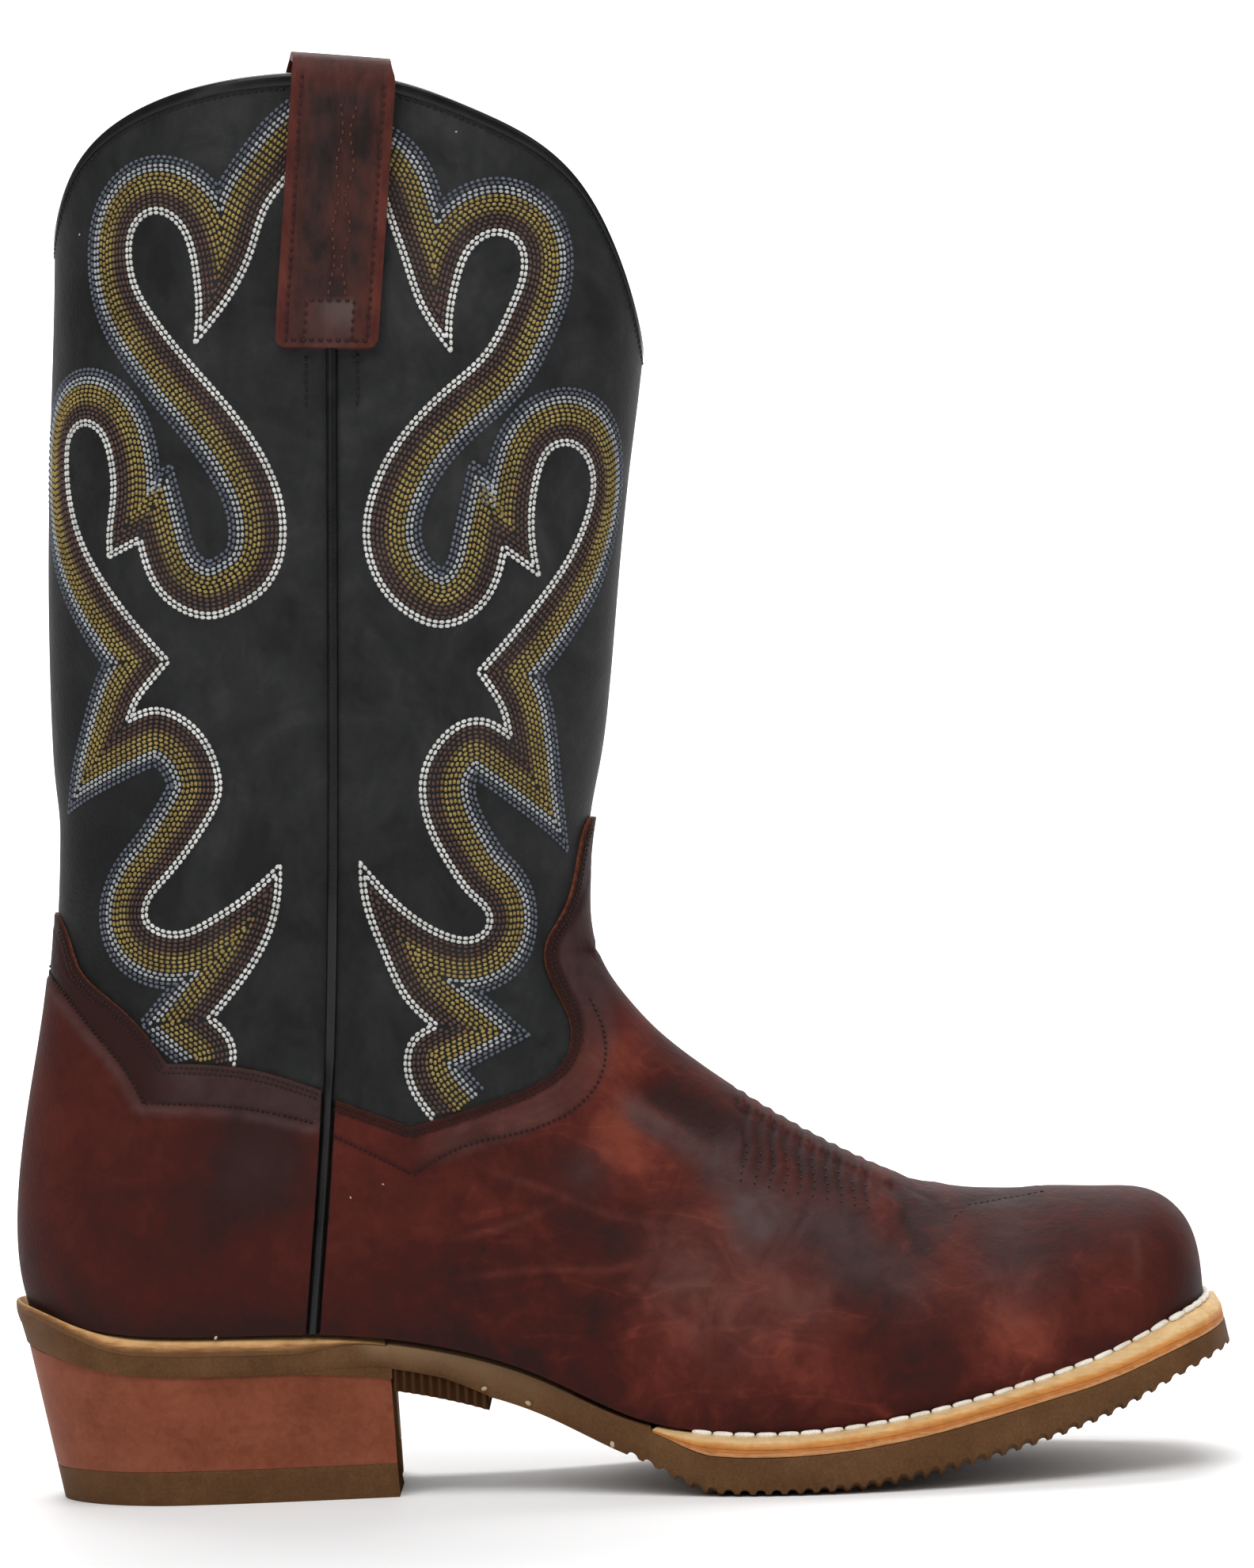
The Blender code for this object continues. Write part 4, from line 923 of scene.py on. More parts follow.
def edgeDistance(points, edge):
    # how far below an overlay's edge, in the side view
    flat = points[..., [0, 2]].reshape(-1, 2)
    nearest = np.full(len(flat), np.inf)
    for part in np.array_split(edge, 12):
        nearest = np.minimum(nearest, np.linalg.norm(flat[:, None] - part[None], axis=2).min(1))
    return nearest.reshape(points.shape[:-1])


def rowLines(runs):
    # the runs of a second row as close points in the side view
    return [np.stack(pathThrough(photoLine(run), 60), axis=-1) for run in runs]


vampRow, counterRow = rowLines(secondRows["vamp"]), rowLines(secondRows["counter"])


pressing = {"edge": 0.2, "reach": (3.0, 2.2), "lip": 0.3, "lipReach": 0.9, "row": 0.25, "rowReach": 0.8}


def seamPress(points, edge, row):
    # the edge is pressed down by its stitches, and again along the second row
    distance = edgeDistance(points, edge)
    pressed = pressing["edge"] * ease(*pressing["reach"], distance)
    pressed = pressed + pressing["lip"] * ease(pressing["lipReach"], 0.0, distance)
    away = edgeDistance(points, np.concatenate(row))
    return -pressed - pressing["row"] * hump(away, pressing["rowReach"])


def belowRow(points, row):
    # signed distance below a second row that runs from the back to the seam
    line = np.concatenate(row)
    distance = edgeDistance(points, line)
    return np.where(points[..., 2] < np.interp(points[..., 0], *line.T), distance, -distance)


def tuckFoot(x):
    return np.interp(x, [tucks["start"], tucks["end"]], tucks["feet"])


def tuckLean(x, z):
    return tucks["slant"] * (ridgeHeight(x) - z) + 0.5 * np.sin(z * 0.55 + x * 0.3)


def tuckWave(points):
    # 1 on the tucks and -1 between them, and how much of it a place takes
    x, z = points[..., 0], points[..., 2]
    foot = tuckFoot(x)
    inRow = ease(tucks["start"] - 3.5, tucks["start"], x) * ease(tucks["end"] + 4.0, tucks["end"] - 3.0, x)
    uneven = 0.75 + 0.25 * np.sin(x * 0.83 + 1.0)
    wave = np.cos(2 * math.pi * (x - tucks["start"] + tuckLean(x, z)) / tucks["pitch"])
    return wave, inRow * uneven * ease(foot - 4.0, foot + 6.0, z)


def vampRelief(points):
    x, z = points[..., 0], points[..., 2]
    wave, taken = tuckWave(points)
    total = tucks["depth"] * (wave - 0.25) * taken + seamPress(points, vampEdge[::4], vampRow)
    for path, depth, width, _, _ in folds:
        distance, fade = nearPath(points, path)
        total = total - depth * hump(distance, width) * fade
    return total - 0.5 * hump(z - 134.2, 1.1) * ease(-22.0, -12.0, x)  # where the tongue bends


padding = {"height": 0.9, "rise": (-0.1, 1.7), "fall": (6.0, 30.0), "fallShare": 0.4,
           "backSeam": (-149.0, -136.0)}


def counterRelief(points):
    # padded below the second row of stitches
    below = belowRow(points, counterRow)
    pad = padding["height"] * ease(*padding["rise"], below)
    pad = pad * (1 - padding["fallShare"] * ease(*padding["fall"], below))
    pad = pad * (0.25 + 0.75 * ease(*padding["backSeam"], points[..., 0]))  # flatter over the back seam
    return pad + seamPress(points, counterEdge[::2], counterRow)


shaftDents = [  # x, z, across, up, depth of soft dents in the shaft, outer side
    (-128.0, 172.0, 22.0, 9.0, 0.9), (-120.0, 148.0, 26.0, 8.0, -0.7), (-20.0, 176.0, 18.0, 10.0, 0.8),
    (-40.0, 200.0, 30.0, 18.0, -0.6), (-100.0, 214.0, 30.0, 20.0, 0.6), (-28.0, 250.0, 26.0, 26.0, 0.5),
    (-112.0, 268.0, 24.0, 22.0, -0.5),
]


def shaftRelief(points):
    x, z = points[..., 0], points[..., 2]
    total = np.zeros_like(x)
    for atX, atZ, across, up, depth in shaftDents:
        total = total - depth * np.exp(-(((x - atX) / across) ** 2) - ((z - atZ) / up) ** 2)
    return total


# Tone of the waxed leather: x, z, spread, strength of dark (minus) and warm (plus) places
vampTones = [
    (-28.0, 78.0, 7.0, -0.1), (-8.3, 80.0, 4.5, -0.15), (-11.8, 64.0, 6.0, -0.13),
    (-1.0, 59.5, 4.5, -0.12), (-38.0, 60.0, 7.0, -0.09), (-6.0, 44.0, 9.0, -0.1),
    (14.0, 99.0, 5.0, -0.12), (26.0, 90.0, 6.0, -0.14), (38.0, 84.0, 6.0, -0.12),
    (50.0, 78.0, 6.0, -0.12), (-14.0, 128.0, 14.0, -0.16), (-4.0, 148.0, 14.0, -0.14),
    (12.0, 110.0, 5.0, -0.1), (52.0, 62.0, 7.0, -0.14), (57.0, 50.0, 6.0, -0.12),
    (70.0, 49.0, 7.0, -0.14), (66.0, 31.0, 6.0, -0.15), (76.0, 36.0, 5.0, -0.1),
    (76.0, 64.0, 6.0, -0.12), (96.0, 68.0, 9.0, -0.1), (114.0, 69.0, 8.0, -0.09),
    (130.0, 68.0, 8.0, -0.1), (142.0, 60.0, 6.0, -0.08), (144.0, 46.0, 6.0, -0.1),
    (-40.0, 48.0, 10.0, -0.06), (-62.0, 56.0, 9.0, -0.07), (-6.4, 104.0, 6.0, 0.16),
    (2.6, 111.0, 6.0, 0.14), (2.0, 84.0, 6.0, 0.17), (-2.0, 92.0, 5.0, 0.12), (22.0, 62.0, 8.0, 0.1),
    (44.0, 50.0, 7.0, 0.12), (30.0, 44.0, 10.0, 0.08), (98.0, 36.0, 7.0, 0.2),
    (90.0, 44.0, 8.0, 0.08), (118.0, 50.0, 9.0, 0.06), (66.0, 66.0, 5.0, 0.08),
    (-24.0, 62.0, 7.0, 0.05), (14.0, 36.0, 12.0, 0.03),
]
counterTones = [
    (-90.0, 84.0, 8.0, -0.14), (-86.0, 96.0, 7.0, -0.12), (-100.0, 76.0, 12.0, -0.07),
    (-136.0, 90.0, 12.0, 0.05), (-122.0, 100.0, 9.0, 0.04), (-112.0, 60.0, 16.0, 0.02),
    (-84.0, 66.0, 8.0, 0.04),
]
vampBlooms = [
    (36.0, 64.7, 6.0, 0.7), (52.0, 63.0, 6.0, 0.5), (70.0, 51.0, 6.0, 0.4), (96.0, 65.5, 6.0, 0.2),
    (58.0, 56.0, 5.0, 0.4), (96.0, 50.0, 8.0, 0.35), (14.0, 58.0, 7.0, 0.35), (24.0, 46.0, 9.0, 0.4),
    (44.0, 46.0, 6.0, 0.35), (-8.3, 80.0, 4.0, 0.35), (-90.0, 84.0, 7.0, 0.15),
]


def spotsAt(points, table):
    total = np.zeros(points.shape[:-1])
    for x, z, spread, strength in table:
        apart = (points[..., 0] - x) ** 2 + (points[..., 2] - z) ** 2
        total += strength * np.exp(-apart / (2 * spread**2))
    return total


def overlayPiece(name, node, outer, inner, relief, look, edge):
    # the columns run from the outer seam round the middle line to the inner seam
    points = np.concatenate([outer, inner[:, -2::-1]], axis=1)
    if outer[0, 0, 0] > outer[0, -1, 0]:
        points = points[:, ::-1]
    normals = gridNormals(points)
    raised = last["gap"] + overlay["wall"] + relief(points)
    lifted = points + normals * raised[..., None]
    lifted[0, :, 2] += overlay["lift"]
    floats = look(points)
    # painted shade: darker along the pressed, stitched band by the edge and along the foot of the upper
    # above the welt
    floats["tone"] = floats["tone"] - 0.16 * ease(3.2, 2.4, edgeDistance(points, edge))
    floats["tone"] = floats["tone"] - 0.12 * hump(points[..., 2] - edgeHeight(points[..., 0]), 7.0)
    lifted, rim = withRim(lifted, normals, overlay["wall"] + 0.15)
    floats = {key: np.pad(value, 1, mode="edge") for key, value in floats.items()}
    builder = sheetBuilder(lifted, {**floats, "rim": rim})
    finishPiece(name, builder, [vampMaterial], [node], 55)


def vampLook(points):
    # dark along the second row, which is painted shade in its pressed groove, and greyer between it and the
    # edge stitches
    row = edgeDistance(points, np.concatenate(vampRow))
    away = edgeDistance(points, vampEdge[::4])
    inStrip = ease(12.0, 8.5, away) * ease(2.4, 3.4, away) * ease(-54.0, -40.0, points[..., 0])
    wave, taken = tuckWave(points)
    # painted shade between the tucks with a faint painted highlight on them, and painted shade along the
    # pressed second row
    tone = spotsAt(points, vampTones) - 0.05 * hump(row, 0.9) + (0.07 * wave - 0.05) * taken
    bloom = spotsAt(points, vampBlooms) + 0.4 * inStrip
    # painted shade in the troughs, and partly painted highlight, partly pale creases, along the ridges
    for path, _, width, darker, paler in folds:
        distance, fade = nearPath(points, path)
        tone = tone + darker * hump(distance, width) * fade
        bloom = bloom + paler * hump(distance, width) * fade
    flex = ease(-60.0, -35.0, points[..., 0]) * ease(140.0, 110.0, points[..., 0])
    return {"tone": tone, "bloom": np.clip(bloom, 0, 1), "flex": flex * ease(118.0, 100.0, points[..., 2])}


def counterLook(points):
    # dark above the second row, with painted shade along the row and a painted highlight along the
    # padding's upper edge
    below = belowRow(points, counterRow)
    above = ease(0.4, -0.4, below)
    # painted shade along the pressed second row
    tone = spotsAt(points, counterTones) - 0.2 * above - 0.1 * hump(below, 0.8)
    # painted highlight along the padding's upper edge
    bloom = 0.4 * above * ease(-118.0, -108.0, points[..., 0]) + 0.5 * hump(below - 1.8, 1.3)
    bloom = bloom + spotsAt(points, vampBlooms)
    return {"tone": tone - 0.085, "bloom": bloom, "flex": np.zeros_like(tone)}


upperGrid = {"columns": 193, "footRows": 36, "shaftRows": 92}


def makeUpper():
    arounds = np.linspace(0, 2, upperGrid["columns"])
    footLevels = np.linspace(0, 1, upperGrid["footRows"])
    shaftLevels = np.linspace(1, 2, upperGrid["shaftRows"])
    levels = np.concatenate([footLevels, shaftLevels[1:]])
    points = upperSurface(*np.meshgrid(arounds, levels))
    points = points + gridNormals(points, ring=True) * shaftRelief(points)[..., None]
    materials = [shaftMaterial, liningMaterial]
    piece = finishPiece("upper_leather", sheetBuilder(points), materials, ["upper"], 50)
    addWall(piece, last["wall"], -1, inside=1)


def makeOverlays():
    # the vamp's rows lie closer together over the tucks
    ridgeRows = np.interp(overlay["closeRows"], frontX[:throat][::-1], np.arange(throat)[::-1])
    tuckLevels = np.interp(ridgeRows / throatRow, last["frontRows"], evenLevels)
    topLevel = locate(*vampEdge[-1:].T)[1][0]
    stops = [0.0, *(tuckLevels / topLevel), 1.0]
    parts = [np.linspace(*stops[i : i + 2], count) for i, count in enumerate(overlay["vampRows"])]
    rows = np.concatenate([parts[0], parts[1][1:], parts[2][1:]])
    seamAt = seamTurns(overlay["seamClearance"])
    outer, inner = overlayGrid(vampEdge, seamAt, 1.0, rows, *overlay["vampSteps"])
    overlayPiece("vamp_overlay", "vamp", outer, inner, vampRelief, vampLook, vampEdge[::4])
    rows = 1 - (1 - np.linspace(0, 1, overlay["counterRows"])) ** overlay["counterPower"]
    seamAt = seamTurns(-overlay["seamClearance"])
    outer, inner = overlayGrid(counterEdge, seamAt, 0.0, rows, *overlay["counterSteps"])
    overlayPiece("counter_overlay", "counter", outer, inner, counterRelief, counterLook, counterEdge[::2])


makeUpper()
makeOverlays()
print("upper and overlays made")

piping = {"halfWidth": 1.4, "proud": 1.5, "proudOnFoot": 2.4, "top": 287.4, "rows": 200, "steps": 13}


def makePiping(side):
    heights = np.linspace(edgeHeight(last["sideSeam"][0][0]) + 0.6, piping["top"], piping["rows"])[:, None]
    angles = np.linspace(0, math.pi, piping["steps"])[None]
    share, crown = -np.cos(angles), np.sin(angles)
    proud = piping["proudOnFoot"] + (piping["proud"] - piping["proudOnFoot"]) * ease(100.0, 112.0, heights)
    x = seamX(heights) + share * piping["halfWidth"]
    sections = sideFace(x, heights + 0 * x, side, last["gap"] + 0.1 + proud * crown)
    name = "side_piping_" + sideNames[side]
    finishPiece("bead_" + name, loopBuilder(sections), [pipingMaterial], [name], 60)


strap = {
    "path": [  # out from the shaft's face, z
        (0.4, 286.6), (0.4, 302.0), (0.9, 322.0), (1.9, 341.0), (2.3, 351.0), (2.0, 354.6),
        (0.6, 356.7), (-1.2, 357.2), (-3.0, 356.7), (-4.4, 354.6), (-4.7, 351.0), (-4.3, 341.0),
        (-3.3, 322.0), (-2.9, 302.0),
    ],
    "width": 24.2, "wall": 2.2, "lean": 0.066, "shift": 3.2, "innerLean": 0.02, "rows": 130, "columns": 47,
    "tilt": (0.05, 0.11), "rolledEdge": 1.4, "corner": 2.2, "box": (-5.5, 6.2), "boxTop": 298.4,
    "fold": 0.52, "bevel": 0.5, "bevelSteps": 3, "bevelFrom": 60.0,
}


def strapMiddle(z, inside=0.0):
    # the outer leg leans further forward than the leg inside the shaft
    down = last["collarPeak"] - z
    outerLeg = (strap["shift"] - strap["lean"] * down) * (1 - inside)
    return seamX(z) + outerLeg - strap["innerLean"] * down * inside


def strapFace(out, z, offset, side, inside=0.0, level=0.0):
    x = strapMiddle(z, inside) + offset
    half, middle = upperHalfWidth(x, np.minimum(z, last["collarPeak"]))
    foot, top = strap["tilt"]
    tilt = (foot + (top - foot) * ease(300.0, 350.0, z)) * (1 - level)
    return np.stack([x, middle + side * (half + out), z - tilt * offset], axis=-1)


def makeStrap(side):
    out, z = (values[:, None] for values in pathThrough(strap["path"], strap["rows"]))
    halfWidth, corner = strap["width"] / 2, strap["corner"]
    offset = np.linspace(-halfWidth, halfWidth, strap["columns"])[None]
    if side == innerSide:
        offset = offset[:, ::-1]
    share = np.linspace(0, 1, strap["rows"])[:, None]
    onOutside = share < strap["fold"]
    rise = corner - np.sqrt(corner**2 - np.clip(np.abs(offset) - halfWidth + corner, 0, corner) ** 2)
    fromFoot = np.where(onOutside, z - z[0], 99.0) + 0 * offset
    height = z + rise * ease(9.0, 0.0, fromFoot)
    inside, level = ease(0.5, 0.62, share), ease(0.6, 0.9, share)
    points = strapFace(out + 0 * offset, height, offset + 0 * z, side, inside, level)
    fromEdge = np.minimum(halfWidth - np.abs(offset), fromFoot + 0.6)
    crown = 0.3 * hump(fromEdge - 0.9, 0.9) - 0.22 * hump(fromEdge - 2.2, 0.6)
    points = points + gridNormals(points) * (crown * onOutside)[..., None]
    rolled = ease(strap["rolledEdge"] + 0.4, strap["rolledEdge"] - 0.4, fromEdge)
    nearEdge = 0.45 * ease(7.0, 2.2, fromEdge)
    left, right = strap["box"]
    inBox = ease(left - 0.3, left + 0.3, offset) * ease(right + 0.3, right - 0.3, offset)
    inBox = inBox * ease(299.0, 298.2, z) * onOutside
    foot = 0.6 * ease(302.0, 290.0, z) * onOutside * ease(-9.0, 9.0, offset)
    rows = 0.3 * hump(offset - 1.7, 2.4) * ease(302.0, 306.0, z) * ease(348.0, 344.0, z) * onOutside
    top = 0.6 * ease(347.0, 355.0, z) + 0 * offset
    edge = np.max(np.stack([rolled, nearEdge, foot, 0.5 * inBox, rows, top]), axis=0)
    # painted grey sheen over the box's upper front part, and the whole box a little paler
    bloom = 0.65 * inBox * ease(288.0, 297.0, height) * ease(-5.0, 3.0, offset) + 0.15 * inBox
    name = "pull_strap_" + sideNames[side]
    builder = sheetBuilder(points, {"edge": edge, "bloom": bloom})
    piece = finishPiece("leather_" + name, builder, [strapMaterial], [name], 50)
    addWall(piece, strap["wall"], 1)
    bevel = piece.modifiers.new("rolled edge", "BEVEL")
    bevel.width = strap["bevel"] * mm
    bevel.segments = strap["bevelSteps"]
    bevel.limit_method = "ANGLE"
    bevel.angle_limit = math.radians(strap["bevelFrom"])


binding = {"gap": 0.15, "wall": 0.5, "depth": 2.1, "columns": 240, "rise": 1.2, "corner": 0.25, "lip": 0.7}


def makeBinding():
    arounds = np.linspace(0, 2, binding["columns"] + 1)
    levels = np.array([1.96, 1.98, 2.0])
    points = upperSurface(*np.meshgrid(arounds, levels))
    outward = gridNormals(points, ring=True)[-1][:-1]
    upward = points[2] - points[1]
    upward = (upward / upward[:, 2:])[:-1]
    near, far = binding["gap"], binding["gap"] + binding["wall"]
    inner = -last["wall"]
    centre, halfOver = inner / 2, -inner / 2 + far
    arc = np.linspace(0, math.pi, 13)
    over = [(centre + halfOver * math.cos(a), binding["rise"] * math.sin(a)) for a in arc]
    low, corner, lip = -binding["depth"], binding["corner"], binding["lip"]
    section = [(near, low), (far - corner, low), (far, low + lip), *over, (inner - far, low + lip),
               (inner - far + corner, low), (inner - near, low), (inner - near, near * 0.6),
               (near, near * 0.6)]
    outs, rises = np.array(section).T
    rim = points[2][:-1]
    # pressed flat at the back and front
    thin = 0.15 + 0.85 * np.sqrt(np.abs(np.sin(math.pi * arounds[:-1])))
    outs = np.where(outs > 0, outs * thin[:, None], outs)
    sections = rim[:, None] + outward[:, None] * outs[..., None] + upward[:, None] * rises[None, :, None]
    builder = loopBuilder(sections, ring=True)
    finishPiece("collar_binding", builder, [pipingMaterial], ["top_binding"], 50)


for side in sideNames:
    makePiping(side)
    makeStrap(side)
makeBinding()
print("pipings, straps and binding made")

# The sole's edge in plan and the layers under the upper
sole = {
    "stations": [  # x, outer half width, inner half width
        (-155.0, 30.0, 29.0), (-125.0, 34.0, 33.0), (-98.0, 34.5, 33.0), (-70.0, 32.5, 30.5),
        (-45.0, 31.0, 27.0), (-20.0, 34.0, 28.0), (5.0, 44.5, 34.5), (25.0, 52.0, 44.0),
        (48.0, 55.0, 51.5), (72.0, 53.2, 55.0), (98.0, 47.6, 53.0), (120.0, 41.5, 48.5),
        (140.0, 36.0, 43.5), (155.0, 32.0, 39.5),
    ],
    "back": -155.0, "tip": 155.0, "heelRound": 33.0, "toeRound": 17.0, "toeSquareness": 2.1,
    "weltWall": 4.2, "randWall": 3.5, "reach": 11.0, "weltStart": 6.0, "randEnd": -60.0,
    "rimDrop": 0.8, "toeRimDrop": 3.0, "heelRimRise": 3.0, "rimReach": 3.6,
    "depthAtHeel": 9.7, "depthAtBall": 14.2, "ballCamber": 1.4,
    "ribPitch": 3.9, "ribDepth": 1.05, "ribShare": 0.64, "ribsStart": -1.0,
    "heelBreast": -58.5, "padEnd": -34.5, "padDepth": 3.0, "padEndDepth": 3.5, "padRib": 2.2,
    # x, rise of the band above the pad
    "bandLift": [(-86.0, 0.0), (-62.0, 2.7), (-46.0, 2.2), (-35.0, 0.3), (-34.0, 0.0)],
    "toeLean": (-3.2, -1.2), "toeRise": 1.2,
}
soleOuterBody = splineOf(sole["stations"], 0, 1)
soleInnerBody = splineOf(sole["stations"], 0, 2)


def soleRounding(x):
    heel = roundedEnd(x - sole["back"], sole["heelRound"], 2)
    return heel * roundedEnd(sole["tip"] - x, sole["toeRound"], sole["toeSquareness"])


def soleHalf(x, side):
    return np.where(side < 0, soleOuterBody(x), soleInnerBody(x)) * soleRounding(x)


def planLine(turns, inward):
    def edge(turn):
        x = sole["back"] + (sole["tip"] - sole["back"]) * runOf(np.where(turn <= 1, turn, 2 - turn))
        side = np.where(turn <= 1, -1, 1)
        return np.stack([x, side * soleHalf(x, side)], axis=-1)

    step = 0.002
    along = unit(edge(np.mod(turns + step, 2)) - edge(np.mod(turns - step, 2)))
    return edge(turns) + inward[..., None] * np.stack([-along[..., 1], along[..., 0]], axis=-1)


def rimSlope(x, y):
    half, ahead = (soleHalf(at, y) for at in (x, x + 0.02))
    inward = (half - np.abs(y)) / np.hypot(1, (ahead - half) / 0.02)
    drop = sole["rimDrop"] + (sole["toeRimDrop"] - sole["rimDrop"]) * ease(95.0, 140.0, x)
    drop = drop - (sole["rimDrop"] + sole["heelRimRise"]) * ease(-125.0, -150.0, x)
    return drop * (1 - np.clip(inward / sole["rimReach"], 0, 1))


def turnAt(x):
    return math.acos(1 - 2 * (x - sole["back"]) / (sole["tip"] - sole["back"])) / math.pi


def weltWall(x):
    # the welt thins out where it starts at the waist, and the rand where it ends
    return 0.5 + (sole["weltWall"] - 0.5) * ease(sole["weltStart"] - 2.0, sole["weltStart"] + 15.0, x)


def randWall(x):
    return 0.4 + (sole["randWall"] - 0.4) * ease(sole["randEnd"] - 5.0, sole["randEnd"] - 24.0, x)


def toeLean(x, down):
    # the toe end of the sole slants back towards its top face
    top, bottom = sole["toeLean"]
    return (top + (bottom - top) * down) * ease(116.0, 155.0, x)


def bandPiece(name, node, turns, wallAt, section, material):
    # section: inward from the edge, share of the wall down from the top face
    turn, inward = np.meshgrid(turns, section[:, 0], indexing="ij")
    x, y = np.moveaxis(planLine(turn, inward), -1, 0)
    z = edgeHeight(x) - last["gap"] - section[None, :, 1] * wallAt(x) - rimSlope(x, y)
    down = np.repeat(np.where(section[:, 0] < 1, section[:, 1], 0)[None], len(turns), 0)
    builder = loopBuilder(np.stack([x + toeLean(x, down * 0.4), y, z], axis=-1), floats={"side": down})
    finishPiece(name, builder, [material], [node], 50)


def makeWeltAndRand():
    start, end = turnAt(sole["weltStart"]), turnAt(sole["randEnd"])
    bend = np.linspace(-1, 1, 281)
    turns = 1 + (1 - start) * (0.45 * bend + 0.55 * bend**3)  # closer together round the toe
    reach, rim = sole["reach"], sole["rimReach"]
    layered = np.array([
        (reach, 0), (rim, 0), (1.4, 0), (0.6, 0.015), (0.18, 0.06), (0, 0.15), (0, 0.5), (0.16, 0.54),
        (0, 0.58), (0, 0.88), (0.15, 0.97), (0.5, 1), (reach, 1),
    ])
    rolled = np.array([
        (reach, 0), (rim, 0), (2.0, 0.01), (1.2, 0.06), (0.6, 0.17), (0.2, 0.36), (0, 0.6), (0, 0.85),
        (0.1, 1), (reach, 1),
    ])
    bandPiece("welt_strip", "welt", turns, weltWall, layered, weltMaterial)
    turns = np.mod(np.linspace(-end, end, 181), 2)
    bandPiece("heel_rand_strip", "heel_rand", turns, randWall, rolled, randMaterial)


heel = {
    "capHeight": 8.5, "backAtFloor": -144.2, "backLean": 0.2, "taper": 0.92, "inset": 0.8, "soleLean": 2.6,
    "back": sole["back"] + 1.6, "breastInset": 0.4, "breastLean": 1.2, "breastHollow": 1.6,
    "innerSkew": 1.2, "sideStart": -119.0, "centre": (-105.0, 0.0), "middleX": -100.0,
}


def outsoleRim(x):
    depth = sole["depthAtHeel"] + (sole["depthAtBall"] - sole["depthAtHeel"]) * ease(0.0, 24.0, x)
    return edgeHeight(x) - depth


def padDepth(x):
    pad = np.interp(x, [sole["heelBreast"], sole["padEnd"]], [sole["padDepth"], sole["padEndDepth"]])
    return np.where((x > sole["heelBreast"]) & (x < sole["padEnd"]), pad, 0)


def ribCut(x):
    # round notches with a narrow tooth between each two
    share = np.abs(2 * np.mod((x - sole["ribsStart"]) / sole["ribPitch"], 1) - 1) / sole["ribShare"]
    notch = np.sqrt(np.clip(1 - share**2, 0, 1))
    return sole["ribDepth"] * notch * ((x > sole["ribsStart"]) & (x < sole["tip"] - 2.0))


def bandLift(x):
    return np.interp(x, *np.array(sole["bandLift"]).T)


def makeOutsole():
    heelEnd = sole["back"] + sole["heelRound"] * (1 - np.cos(np.linspace(0, math.pi / 2, 30)))
    plain = np.linspace(-121.0, sole["ribsStart"] - 0.6, 130)
    breaks = (sole["randEnd"], sole["heelBreast"], sole["padEnd"])
    steps = [place + nudge for place in breaks for nudge in (-0.02, 0.02)]
    ribs = np.arange(sole["ribsStart"], sole["tip"] - 4.0, sole["ribPitch"] / 16)
    toe = sole["tip"] - 4.0 * np.linspace(1, 0, 16) ** 2
    padRibs = np.arange(sole["heelBreast"] + 0.3, sole["padEnd"] - 0.3, sole["padRib"] / 8)
    x = np.sort(np.concatenate([heelEnd, plain, steps, padRibs, ribs, toe]))
    underWelt, underRand = x > sole["weltStart"] - 0.3, x < sole["randEnd"] + 0.3
    rebate = underWelt * (weltWall(x) + 0.05) + underRand * (randWall(x) + 0.05)
    top = edgeHeight(x) - last["gap"] - rebate
    heelLean = heel["soleLean"] * ease(-112.0, -155.0, x)  # the heel end slants in as it goes down
    rim, pad, cut = outsoleRim(x) + sole["toeRise"] * ease(130.0, 155.0, x), padDepth(x), ribCut(x)
    tread = np.maximum(rim - sole["ballCamber"] * ease(0.0, 20.0, x) * ease(150.0, 120.0, x), 0) - pad + cut
    band = rim + bandLift(x)
    ripple = np.sin(2 * math.pi * x / sole["padRib"])
    padWave = (0.8 + 0.5 * ripple) * (pad > 0)
    pale = 0.5 * ease(-69.0, -62.0, x) * ease(0.0, -46.0, x)  # painted highlight: the rim's top face above the waist is paler
    # darker over the recessed pad, and darker still in the deeper cuts between its ribs, which is painted
    # shade
    under = (-0.8 - 0.2 * ripple) * (pad > 0)
    halves = []
    for side in (outerSide, innerSide):
        half = soleHalf(x, np.full_like(x, side))
        reach = sole["rimReach"] / np.where(side < 0, soleOuterBody(x), soleInnerBody(x))
        inset = np.minimum(half, 0.45)
        slope = rimSlope(x, side * half)
        inner = half * (1 - reach)
        rows = [
            (inner, top - np.maximum(rimSlope(x, side * inner), rimSlope(x, 0 * x))),
            (half - inset * 0.3, top - slope), (half, top - slope - 0.15),
            (half, (top - slope + band) / 2), (half, band + 0.4 + cut * 0.9),
            (half - inset * 0.6, band + cut),
            (half - np.minimum(half, padWave + 0.3), band + cut),
            (half - np.minimum(half, padWave + 0.45), rim - pad + cut),
            (inner, tread),
        ]
        lean = [0, 0, 0.1, 0.5, 0.9, 1, 1, 1, 1]
        placed = [x + heelLean * part + toeLean(x, 0.4 + 0.6 * part) for part in lean]
        halves.append([np.stack([atX, side * y, z], axis=-1) for atX, (y, z) in zip(placed, rows)])
    sections = np.stack(halves[0] + halves[1][::-1], axis=1)
    shades = [pale, pale, pale, 0.4 * pale, 0 * x, 0 * x, under, under, under]
    builder = loopBuilder(sections, floats={"shade": np.stack(shades + shades[::-1], axis=1)})
    finishPiece("outsole_rubber", builder, [rubberMaterial], ["outsole"], 40)


def underOutsole(x):
    return edgeHeight(x) - sole["depthAtHeel"] + bandLift(x)


